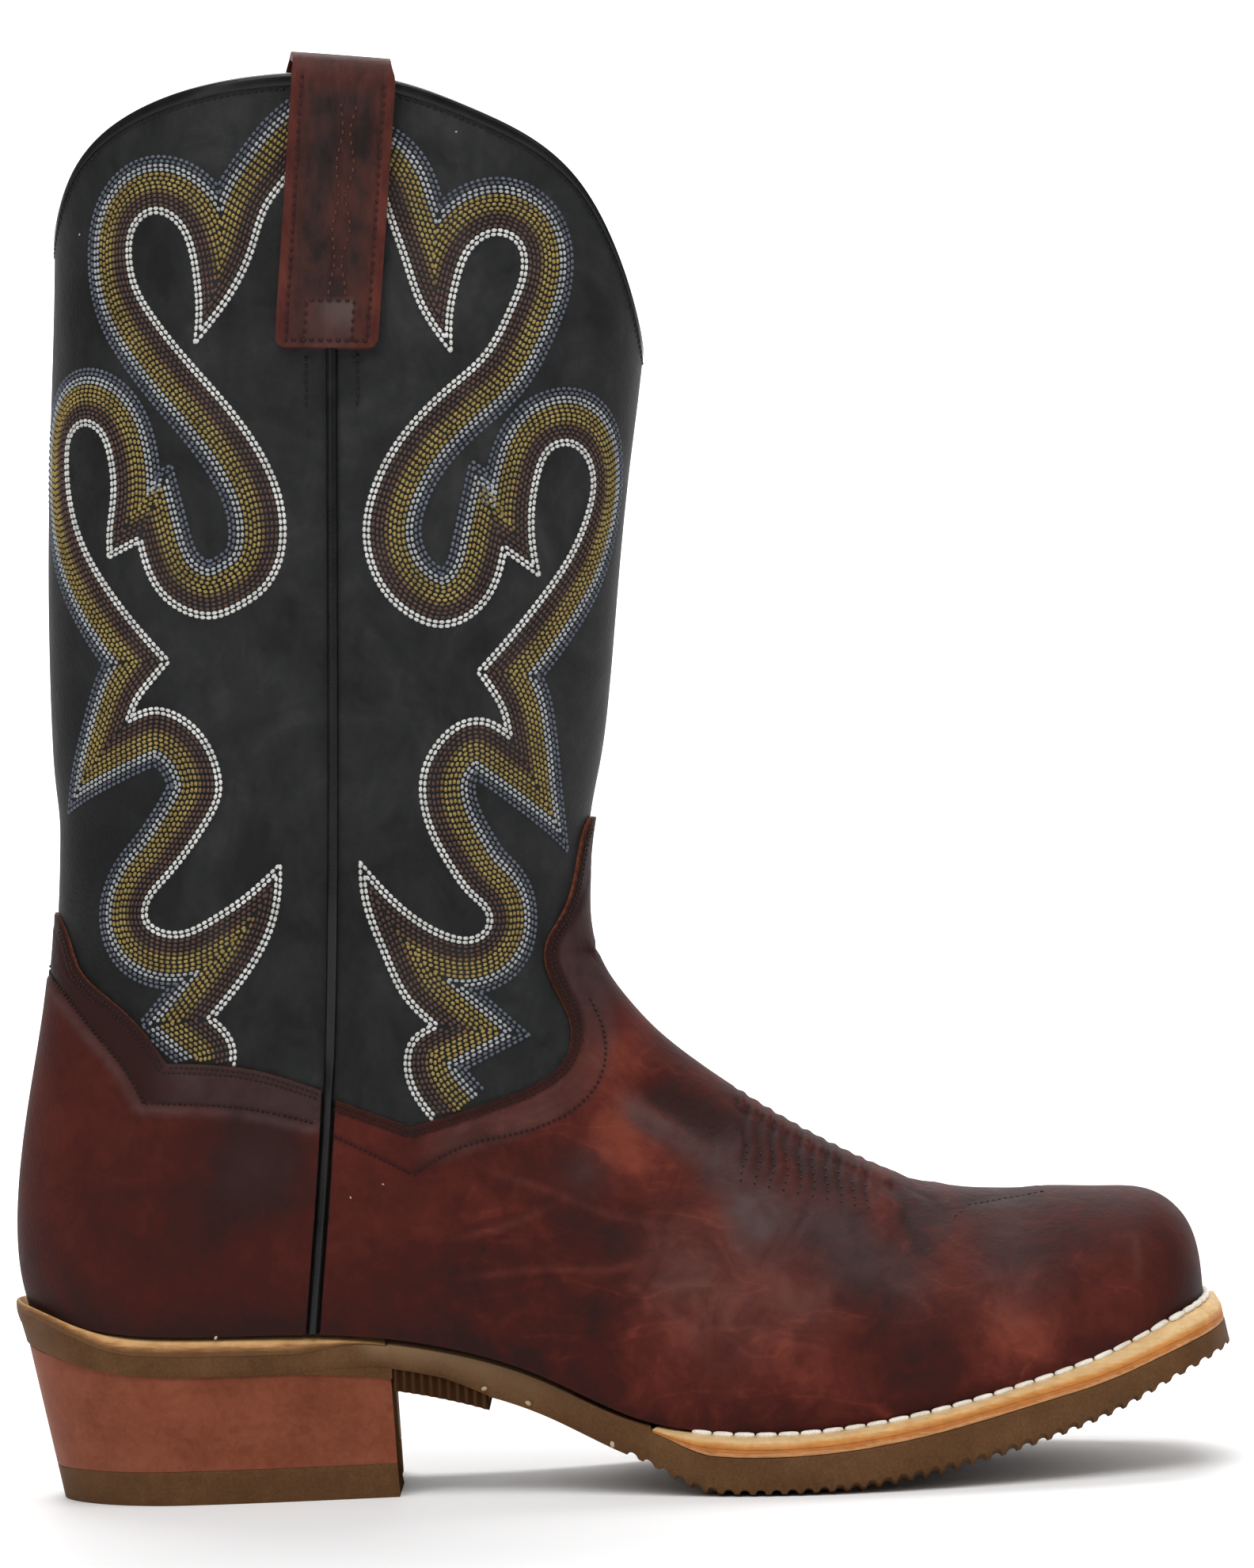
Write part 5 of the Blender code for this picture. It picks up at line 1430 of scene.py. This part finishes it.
def heelPlan(x, share, z):
    down = np.clip(1 - z / underOutsole(heel["middleX"]), 0, 1)
    back = heel["backAtFloor"] - heel["backLean"] * z
    breast = sole["heelBreast"] - heel["breastInset"] + heel["breastLean"] * down
    breast = breast - heel["innerSkew"] * (share > 0)
    breast = breast - heel["breastHollow"] * np.sin(math.pi * down) * (1 - share**2)
    placed = back + (x - heel["back"]) / (sole["heelBreast"] - heel["back"]) * (breast - back)
    taper = 1 + (heel["taper"] - 1) * down
    half = np.where(share < 0, soleOuterBody(x), soleInnerBody(x)) - heel["inset"]
    return placed, share * half * taper * roundedEnd(placed - back, sole["heelRound"], 2)


def capTop(x):
    return np.full_like(x, heel["capHeight"])


def heelPiece(name, node, top, bottom, rows, material):
    # rings from the top face down, with the corners eased at both faces
    quarter = np.linspace(0, math.pi / 2, 40)
    rounded = heel["back"] + sole["heelRound"] * (1 - np.cos(quarter))
    sideX = np.concatenate([rounded, np.linspace(heel["sideStart"], sole["heelBreast"], 40)])
    breast = np.linspace(1, -1, 15)[1:-1]
    ringX = np.concatenate([sideX[::-1], sideX[1:], np.full(len(breast), sole["heelBreast"])])
    ringShare = np.concatenate([-np.ones(len(sideX)), np.ones(len(sideX) - 1), breast])
    shares = np.concatenate([[0, 0.004], np.linspace(0.02, 0.98, rows), [0.996, 1]])
    eased = np.concatenate([[0.2, 0.05], np.zeros(rows), [0.05, 0.2]])
    onBreast = np.repeat((np.abs(ringShare) < 1)[None], rows + 4, 0).astype(float)
    rings = []
    for down, inset in zip(shares, eased):
        z = top(ringX) * (1 - down) + bottom * down
        x, y = heelPlan(ringX, ringShare, z)
        away = unit(np.stack([x, y], axis=-1) - np.array(heel["centre"]))
        x, y = x - away[:, 0] * inset, y - away[:, 1] * inset
        rings.append(np.stack([x, y, z], axis=-1))
    builder = loopBuilder(np.array(rings), floats={"breast": onBreast, "shade": -0.4 * onBreast})
    finishPiece(name, builder, [material], [node], 40)


makeWeltAndRand()
makeOutsole()
heelPiece("heel_stack", "heel_block", underOutsole, heel["capHeight"], 24, heelMaterial)
heelPiece("heel_top_lift", "heel_cap", capTop, 0.0, 8, rubberMaterial)
insole = frame["nodes"]["insole"]
insole.data.materials.clear()
insole.data.materials.append(liningMaterial)
print("sole and heel made")

# Scroll stitching: the white outline as smooth runs between corners, in photograph pixels
scrolls = {
    "back": {"hand": -1, "runs": [
        [(412, 178), (385, 200), (361, 229), (338, 262), (320, 315), (295, 369), (246, 435)],
        [(246, 435), (249, 394), (246, 351), (239, 313), (223, 282), (193, 269), (172, 285),
         (165, 318), (172, 359), (193, 397), (239, 455), (287, 510), (331, 572), (354, 626),
         (360, 672), (355, 708), (336, 743), (305, 766), (267, 780), (234, 774), (200, 748),
         (183, 715), (175, 685)],
        [(175, 685), (156, 695), (137, 705)],
        [(137, 705), (137, 674), (142, 629), (139, 578), (127, 547), (106, 537), (91, 552), (87, 583),
         (91, 634), (106, 687), (134, 738), (170, 787), (213, 835)],
        [(213, 835), (187, 866), (173, 886), (166, 904)],
        [(166, 904), (193, 895), (223, 902), (254, 927), (274, 965), (278, 1003), (264, 1036),
         (239, 1074), (208, 1113), (188, 1143), (188, 1161), (203, 1174), (229, 1177), (269, 1159),
         (310, 1131), (354, 1091)],
        [(354, 1091), (354, 1118), (346, 1166), (325, 1212), (300, 1248), (269, 1286)],
        [(269, 1286), (288, 1305), (297, 1329), (291, 1360)],
    ]},
    "front": {"hand": 1, "runs": [
        [(425, 218), (448, 220), (466, 228), (480, 245), (488, 267), (509, 327), (531, 388),
         (570, 445)],
        [(570, 445), (570, 401), (579, 353), (595, 315), (627, 296), (653, 308), (659, 343),
         (646, 382), (608, 450), (574, 481), (535, 517), (498, 562), (470, 618), (460, 669),
         (466, 711), (484, 747), (518, 778), (557, 791), (591, 781), (619, 753), (633, 722),
         (639, 697)],
        [(639, 697), (660, 712), (682, 728)],
        [(682, 728), (676, 694), (674, 652), (681, 602), (697, 568), (720, 562), (742, 582),
         (748, 610), (742, 646), (723, 694), (686, 750), (647, 798), (602, 848)],
        [(602, 848), (621, 876), (633, 899), (639, 923)],
        [(639, 923), (613, 909), (582, 912), (552, 937), (533, 976), (533, 1018), (546, 1058),
         (568, 1097), (596, 1133), (616, 1159), (613, 1173), (596, 1184), (568, 1181), (526, 1159),
         (490, 1128), (455, 1089)],
        [(455, 1089), (456, 1119), (467, 1164), (484, 1206), (512, 1262), (545, 1295)],
        [(545, 1295), (520, 1313), (512, 1337), (520, 1378), (556, 1425)],
    ]},
}
rowCounts = {"white": 2, "brown": 3, "bronze": 1, "gold": 4, "silver": 2, "navy": 2}
scrollRows = {
    "threads": [thread for thread, count in rowCounts.items() for _ in range(count)],
    "rowPitch": 1.07, "stitchPitch": 1.62, "slant": 0.22,
    "size": (1.4, 0.98, 0.8), "whiteSize": (1.62, 1.06, 0.85), "lift": 0.08,
}


def keptParts(row):
    # the stretches of a row that are left after its corners are cut
    places = np.flatnonzero(row["keep"])
    parts = np.split(places, np.flatnonzero(np.diff(places) > 1) + 1)
    return [row["line"][part] for part in parts if len(part) > 4]


def rowStitches(row, place):
    # each row has the same pitch and starts a little further on than the one before
    pitch = scrollRows["stitchPitch"]
    start = pitch * (0.5 + scrollRows["slant"] * place) % pitch
    sewn = [evenPoints(part, pitch, start) for run in row for part in keptParts(run)]
    return np.concatenate([np.column_stack(found) for found in sewn])


vampOutline = [(160.0, 175.0), (24.0, 175.0), *vampEdge[::-1], (seamX(60.0), 60.0), (160.0, 20.0)]
counterOutline = [(seamX(60.0), 60.0), *counterEdge, (-170.0, 156.0), (-170.0, 40.0)]


def hiddenByPieces(points):
    x, z = points[:, 0], points[:, 2]
    underStrap = (np.abs(x - strapMiddle(z)) < strap["width"] / 2 - 1.2) & (z > strap["path"][0][1] + 1.0)
    return underStrap | insideOutline(x, z - 0.5, vampOutline) | insideOutline(x, z - 0.5, counterOutline)


def drawScrolls():
    # every stitch of each colour in the laid-flat shaft
    gathered = {}
    for scroll in scrolls.values():
        flat = [flatLine(photoLine(run), outerSide) for run in scroll["runs"]]
        distances = scrollRows["rowPitch"] * np.arange(len(scrollRows["threads"]))
        rows = [offsetRuns(flat, scroll["hand"], distance) for distance in distances]
        for place, thread in enumerate(scrollRows["threads"]):
            gathered.setdefault(thread, []).append(rowStitches(rows[place], place))
    return {thread: np.concatenate(parts) for thread, parts in gathered.items()}


def makeScrolls(drawn, side):
    for thread, stitches in drawn.items():
        frames = stitchFrames(*stitches.T, side, scrollRows["lift"], shaftRelief)
        seen = ~hiddenByPieces(frames[0])
        size = scrollRows["whiteSize" if thread == "white" else "size"]
        name = "scroll_" + thread + "_" + sideNames[side]
        stitchPiece(name, *[part[seen] for part in frames], size, thread, "shaft_leather")


drawnScrolls = drawScrolls()
for side in sideNames:
    makeScrolls(drawnScrolls, side)
print("scroll stitching made")


def lineStitches(name, lines, pitch, sizes, thread, side, lift, slot, relief=None):
    # stitches along lines in the laid-flat upper
    places, ways = zip(*[evenPoints(line, pitch, pitch / 2) for line in lines])
    place, way = np.concatenate(places), np.concatenate(ways)
    stitchPiece(name, *stitchFrames(*place.T, *way.T, side, lift, relief), sizes, thread, slot)


def runsAtCorner(edge, corner, steps):
    # an overlay's edge as two runs that meet at the corner
    at = int(np.argmin(np.linalg.norm(edge - np.array(corner), axis=1)))
    return [edge[: at + 1 : steps[0]], edge[at :: steps[1]]]


onOverlay = last["gap"] + overlay["wall"]
edgeStitches = {
    "rows": (0.9, 2.2), "pitch": 1.3, "size": (0.95, 0.62, 0.6), "lift": onOverlay + 0.05,
    "farPitch": 1.4, "farSize": (0.9, 0.85, 0.8), "farLift": onOverlay + 0.12,
}
vampRuns = runsAtCorner(vampEdge, overlay["vampSide"][0], (6, 8))
counterRuns = runsAtCorner(counterEdge, overlay["counterBack"][0], (8, 8))
sewnEdges = [  # piece, runs of its edge, hand of the rows, relief, second row
    ("vamp", vampRuns, -1, vampRelief, vampRow), ("counter", counterRuns, 1, counterRelief, counterRow),
]


def makeEdgeStitches(side):
    for piece, runs, hand, relief, far in sewnEdges:
        flat = [flatLine(run, side) for run in runs]
        rows = [row for away in edgeStitches["rows"] for row in offsetRuns(flat, hand, away)]
        near = [part for row in rows for part in keptParts(row)]
        name = piece + "_edge_stitches_" + sideNames[side]
        lineStitches(name, near, edgeStitches["pitch"], edgeStitches["size"], "dark", side,
                     edgeStitches["lift"], "vamp_leather", relief)
        name = piece + "_second_row_" + sideNames[side]
        lineStitches(name, [flatLine(run, side) for run in far], edgeStitches["farPitch"],
                     edgeStitches["farSize"], "dark", side, edgeStitches["farLift"], "vamp_leather", relief)


for side in sideNames:
    makeEdgeStitches(side)
print("edge stitches made")


def turnedFrames(points, ahead, behind, above, below, outwardSign, lift):
    # frames from neighbouring points on any face
    along, upward = ahead - behind, above - below
    outward = unit(outwardSign * np.cross(along, upward))
    return points + outward * lift, unit(along), outward


strapStitches = {
    "inset": 1.9, "pitch": 2.2, "size": (1.35, 0.85, 0.7), "foot": 288.6, "top": 352.5, "lift": 0.1,
    "waveRows": {0.2: 0.5, 3.2: -0.7}, "wavePeriod": 16.0, "waveSteps": 120,  # place of each row: its swing
}


def makeStrapStitches(side):
    edge = strap["width"] / 2 - strapStitches["inset"]
    low, high = strapStitches["foot"], strapStitches["top"]
    left, right = strap["box"]
    heights = np.linspace(strap["boxTop"] + 2.0, high - 6.0, strapStitches["waveSteps"])
    lines = [[(-edge, high), (-edge, low), (edge, low), (edge, high)],
             [(left, low), (left, strap["boxTop"]), (right, strap["boxTop"]), (right, low)]]
    waves = []
    for row, swing in strapStitches["waveRows"].items():
        wave = swing * np.sin(2 * math.pi * heights / strapStitches["wavePeriod"])
        waves.append(np.column_stack([row + wave, heights]))
    pathOut, pathZ = pathThrough(strap["path"], strap["rows"])
    outer = int(np.argmax(pathZ))

    def face(sideways, height):
        out = np.interp(height, pathZ[:outer], pathOut[:outer]) + strap["wall"]
        return strapFace(out, height, sideways, side)

    for name, runs, thread in (("strap_stitches_", lines, "maroon"), ("strap_wave_rows_", waves, "rust")):
        places, ways = zip(*[evenPoints(np.array(run, float), strapStitches["pitch"]) for run in runs])
        (offset, z), (way, rise) = np.concatenate(places).T, np.concatenate(ways).T
        reach = np.hypot(way, rise)
        way, rise = way / reach * 0.3, rise / reach * 0.3
        ahead, behind = face(offset + way, z + rise), face(offset - way, z - rise)
        above, below = face(offset - rise, z + way), face(offset + rise, z - way)
        centre = face(offset, z)
        frames = turnedFrames(centre, ahead, behind, above, below, -side, strapStitches["lift"])
        stitchPiece(name + sideNames[side], *frames, strapStitches["size"], thread, "vamp_leather")


collarStitches = {"depth": 2.9, "pitch": 1.75, "size": (1.5, 0.75, 0.6), "steps": 900, "lift": 0.05}


def makeCollarStitches():
    around = np.linspace(0, 2, collarStitches["steps"])[:-1]
    depth, nudge, rise = collarStitches["depth"], 2e-3, 0.4

    def face(place, down):
        place = np.mod(place, 2)
        turned = np.where(place <= 1, place, 2 - place)
        return upperSurface(place, 2 - down / (collarHeight(turned) - last["ankle"]))

    reach = reachAlong(face(around, depth))
    at = np.interp(np.arange(0, reach[-1], collarStitches["pitch"]), reach, around)
    frames = turnedFrames(
        face(at, depth), face(at + nudge, depth), face(at - nudge, depth),
        face(at, depth - rise), face(at, depth + rise), 1, collarStitches["lift"])
    stitchPiece("collar_stitches", *frames, collarStitches["size"], "black", "shaft_leather")


weltStitches = {
    "pitch": 5.5, "inward": 3.6, "size": (5.3, 1.8, 1.4), "squared": 0.62,
    "start": 10.0, "steps": 1200, "lift": 0.3,
}


def makeWeltStitches():
    start = turnAt(sole["weltStart"] + weltStitches["start"])
    turns = np.linspace(start, 2 - start, weltStitches["steps"])
    inward, nudge, across = weltStitches["inward"], 1e-3, 0.3

    def line(turn, distance):
        x, y = planLine(turn, np.full_like(turn, distance)).T
        z = edgeHeight(x) - last["gap"] - rimSlope(x, y)
        return np.stack([x + toeLean(x, 0), y, z], axis=-1)

    reach = reachAlong(line(turns, inward))
    at = np.interp(np.arange(1.0, reach[-1], weltStitches["pitch"]), reach, turns)
    frames = turnedFrames(
        line(at, inward), line(at + nudge, inward), line(at - nudge, inward),
        line(at, inward + across), line(at, inward - across), 1, weltStitches["lift"])
    size, squared = weltStitches["size"], weltStitches["squared"]
    stitchPiece("welt_stitches", *frames, size, "cream", "welt_leather", squared)


def sideFrames(x, z, dx, dz, side, lift, relief):
    # frames on the foot from places in the side view
    step = 0.25
    stepX, stepZ, face = dx * step, dz * step, sideFace(x, z, side)
    centre, along, outward = turnedFrames(
        face, sideFace(x + stepX, z + stepZ, side), sideFace(x - stepX, z - stepZ, side),
        sideFace(x - stepZ, z + stepX, side), sideFace(x + stepZ, z - stepX, side), -side, lift)
    return centre + outward * relief(face)[:, None], along, outward


footStitches = {
    "pitch": 1.7, "toePitch": 1.6, "size": (1.2, 0.62, 0.5), "way": (0.1, 0.99), "lift": onOverlay + 0.02,
}


def makeFootStitches(side):
    # dark stitches down in the tucks and along the toe
    places = []
    count = int((tucks["end"] - tucks["start"]) / tucks["pitch"])
    for trough in range(count):
        atX = tucks["start"] + tucks["pitch"] * (trough + 0.5)
        foot = tuckFoot(atX)
        for z in np.arange(foot - 1.0, min(foot + 8.0, ridgeHeight(atX) - 4.0), footStitches["pitch"]):
            places.append((atX - tuckLean(atX, z), z, *footStitches["way"]))
    track, way = evenPoints(np.array(toeBug), footStitches["toePitch"])
    places = np.concatenate([places, np.column_stack([track, unit(way)])])
    frames = sideFrames(*places.T, side, footStitches["lift"], vampRelief)
    stitchPiece("foot_stitches_" + sideNames[side], *frames, footStitches["size"], "dark", "vamp_leather")


pipingTacks = {
    "offset": 6.4, "top": 285.5, "foot": 273.0, "pitch": 1.9, "size": (1.5, 0.9, 0.7), "lift": 0.05,
}


def makePipingTacks(side):
    # short rows that hold the strap's foot, each side of the piping
    ends = np.array([(0.0, pipingTacks["top"]), (0.0, pipingTacks["foot"])])
    lines = [ends + np.array([shift, 0.0]) for shift in (-pipingTacks["offset"], pipingTacks["offset"])]
    name = "piping_tacks_" + sideNames[side]
    lineStitches(name, lines, pipingTacks["pitch"], pipingTacks["size"], "black", side,
                 pipingTacks["lift"], "shaft_leather")


crumbs = [  # x, y, z and size of loose thread ends and crumbs on the outer side
    (20.4, -43.0, 15.6, 2.2), (21.6, -43.6, 14.8, 1.8), (19.6, -42.6, 14.6, 1.6),
    (-102.0, -34.2, 42.0, 1.2), (-35.6, -32.2, 26.8, 1.7), (-24.7, -33.4, 22.9, 1.9),
    (-4.0, -40.2, 12.7, 2.0),
]
dust = [(-127.6, 319.4), (-31.4, 339.5), (-59.1, 78.6), (-67.3, 75.6)]  # x, z of specks on the leather
dustSize, dustLift, dustLiftOnFoot = (0.7, 0.5, 0.3), 0.1, 1.7


def makeCrumbs():
    places = [(x, y, z) for x, y, z, _ in crumbs]
    sizes = [(size, size * 0.7, size * 0.6) for *_, size in crumbs]
    for x, z in dust:
        lift = dustLift if z > last["ankle"] else dustLiftOnFoot
        places.append(sideFace(np.array(x), np.array(z), outerSide, lift))
        sizes.append(dustSize)
    turns = np.arange(len(places)) * 2.4
    along = np.stack([np.cos(turns), np.zeros_like(turns), np.sin(turns)], axis=-1)
    outward = np.repeat([[0.0, -1.0, 0.0]], len(places), 0)
    stitchPiece("crumbs", np.array(places, float), along, outward, sizes, "tan", "welt_leather")


for side in sideNames:
    makeStrapStitches(side)
    makeFootStitches(side)
    makePipingTacks(side)
makeCollarStitches()
makeWeltStitches()
makeCrumbs()
print("strap, collar, welt and foot stitches made")

# Camera, floor and light
scene = bpy.context.scene


def makeCamera():
    roll = math.radians(view["roll"])
    right, up = (math.cos(roll), 0, -math.sin(roll)), (math.sin(roll), 0, math.cos(roll))
    camera = bpy.data.objects.new("camera", bpy.data.cameras.new("camera"))
    camera.matrix_world = Matrix((
        (right[0], up[0], 0, view["centreX"] * mm),
        (right[1], up[1], -1, -view["distance"] * mm),
        (right[2], up[2], 0, view["centreZ"] * mm),
        (0, 0, 0, 1),
    ))
    halfHeight = view["height"] / 2 / view["pxPerMm"]
    camera.data.lens = camera.data.sensor_width / 2 / (halfHeight / view["distance"])
    camera.data.clip_end = 20
    scene.collection.objects.link(camera)
    scene.camera = camera


floorSize, floorRows, bendStart, bendRadius = 4.0, 60, 1.4, 0.9


def makeStage():
    # a floor that bends up into the backdrop
    builder = bmesh.new()
    bmesh.ops.create_grid(builder, x_segments=2, y_segments=floorRows, size=floorSize)
    for vertex in builder.verts:
        past = max(vertex.co.y - bendStart, 0)
        angle = min(past / bendRadius, math.pi / 2)
        vertex.co.z = bendRadius * (1 - math.cos(angle)) + max(past - bendRadius * math.pi / 2, 0)
        vertex.co.y = min(vertex.co.y, bendStart) + bendRadius * math.sin(angle)
    mesh = bpy.data.meshes.new("floor")
    builder.to_mesh(mesh)
    builder.free()
    mesh.shade_smooth()
    floor = bpy.data.objects.new("floor", mesh)
    scene.collection.objects.link(floor)
    material, tree, shader, where = newMaterial("floor_white", 0.6, specular=0.2)
    cloud = noiseAt(tree, where, 3.0, 2.0)
    setColour(tree, shader, rampOf(tree, cloud, [(0.3, (0.93, 0.93, 0.93)), (0.7, (0.96, 0.96, 0.96))]))
    mesh.materials.append(material)


lights = [  # name, place, aim, size, watts
    ("key", (-0.7, -1.5, 1.6), (0.0, 0.0, 0.15), 1.2, 9.0),
    ("fill", (1.5, -1.0, 1.4), (0.0, 0.0, 0.15), 1.4, 5.1),
    ("top", (0.0, -0.9, 2.1), (0.0, 0.0, 0.0), 1.9, 28.0),
    ("backdrop", (0.0, 1.4, 2.6), (0.0, 2.7, 0.6), 2.2, 92.0),
    ("strip", (-1.0, -1.5, 0.5), (0.0, 0.0, 0.2), 0.12, 2.5),
]
stripLength, worldStrength = 1.6, 0.28


def makeLights():
    for name, place, aim, size, watts in lights:
        lamp = bpy.data.lights.new(name, "AREA")
        lamp.shape = "RECTANGLE" if name == "strip" else "DISK"
        lamp.size = size
        lamp.size_y = stripLength
        lamp.energy = watts
        light = bpy.data.objects.new(name, lamp)
        light.location = place
        light.rotation_euler = (Vector(aim) - Vector(place)).to_track_quat("-Z", "Y").to_euler()
        scene.collection.objects.link(light)
    world = bpy.data.worlds.new("studio")
    world.use_nodes = True
    background = world.node_tree.nodes["Background"].inputs
    background["Color"].default_value = (1, 1, 1, 1)
    background["Strength"].default_value = worldStrength
    scene.world = world
    scene.view_settings.view_transform = "Standard"


makeCamera()
makeStage()
makeLights()
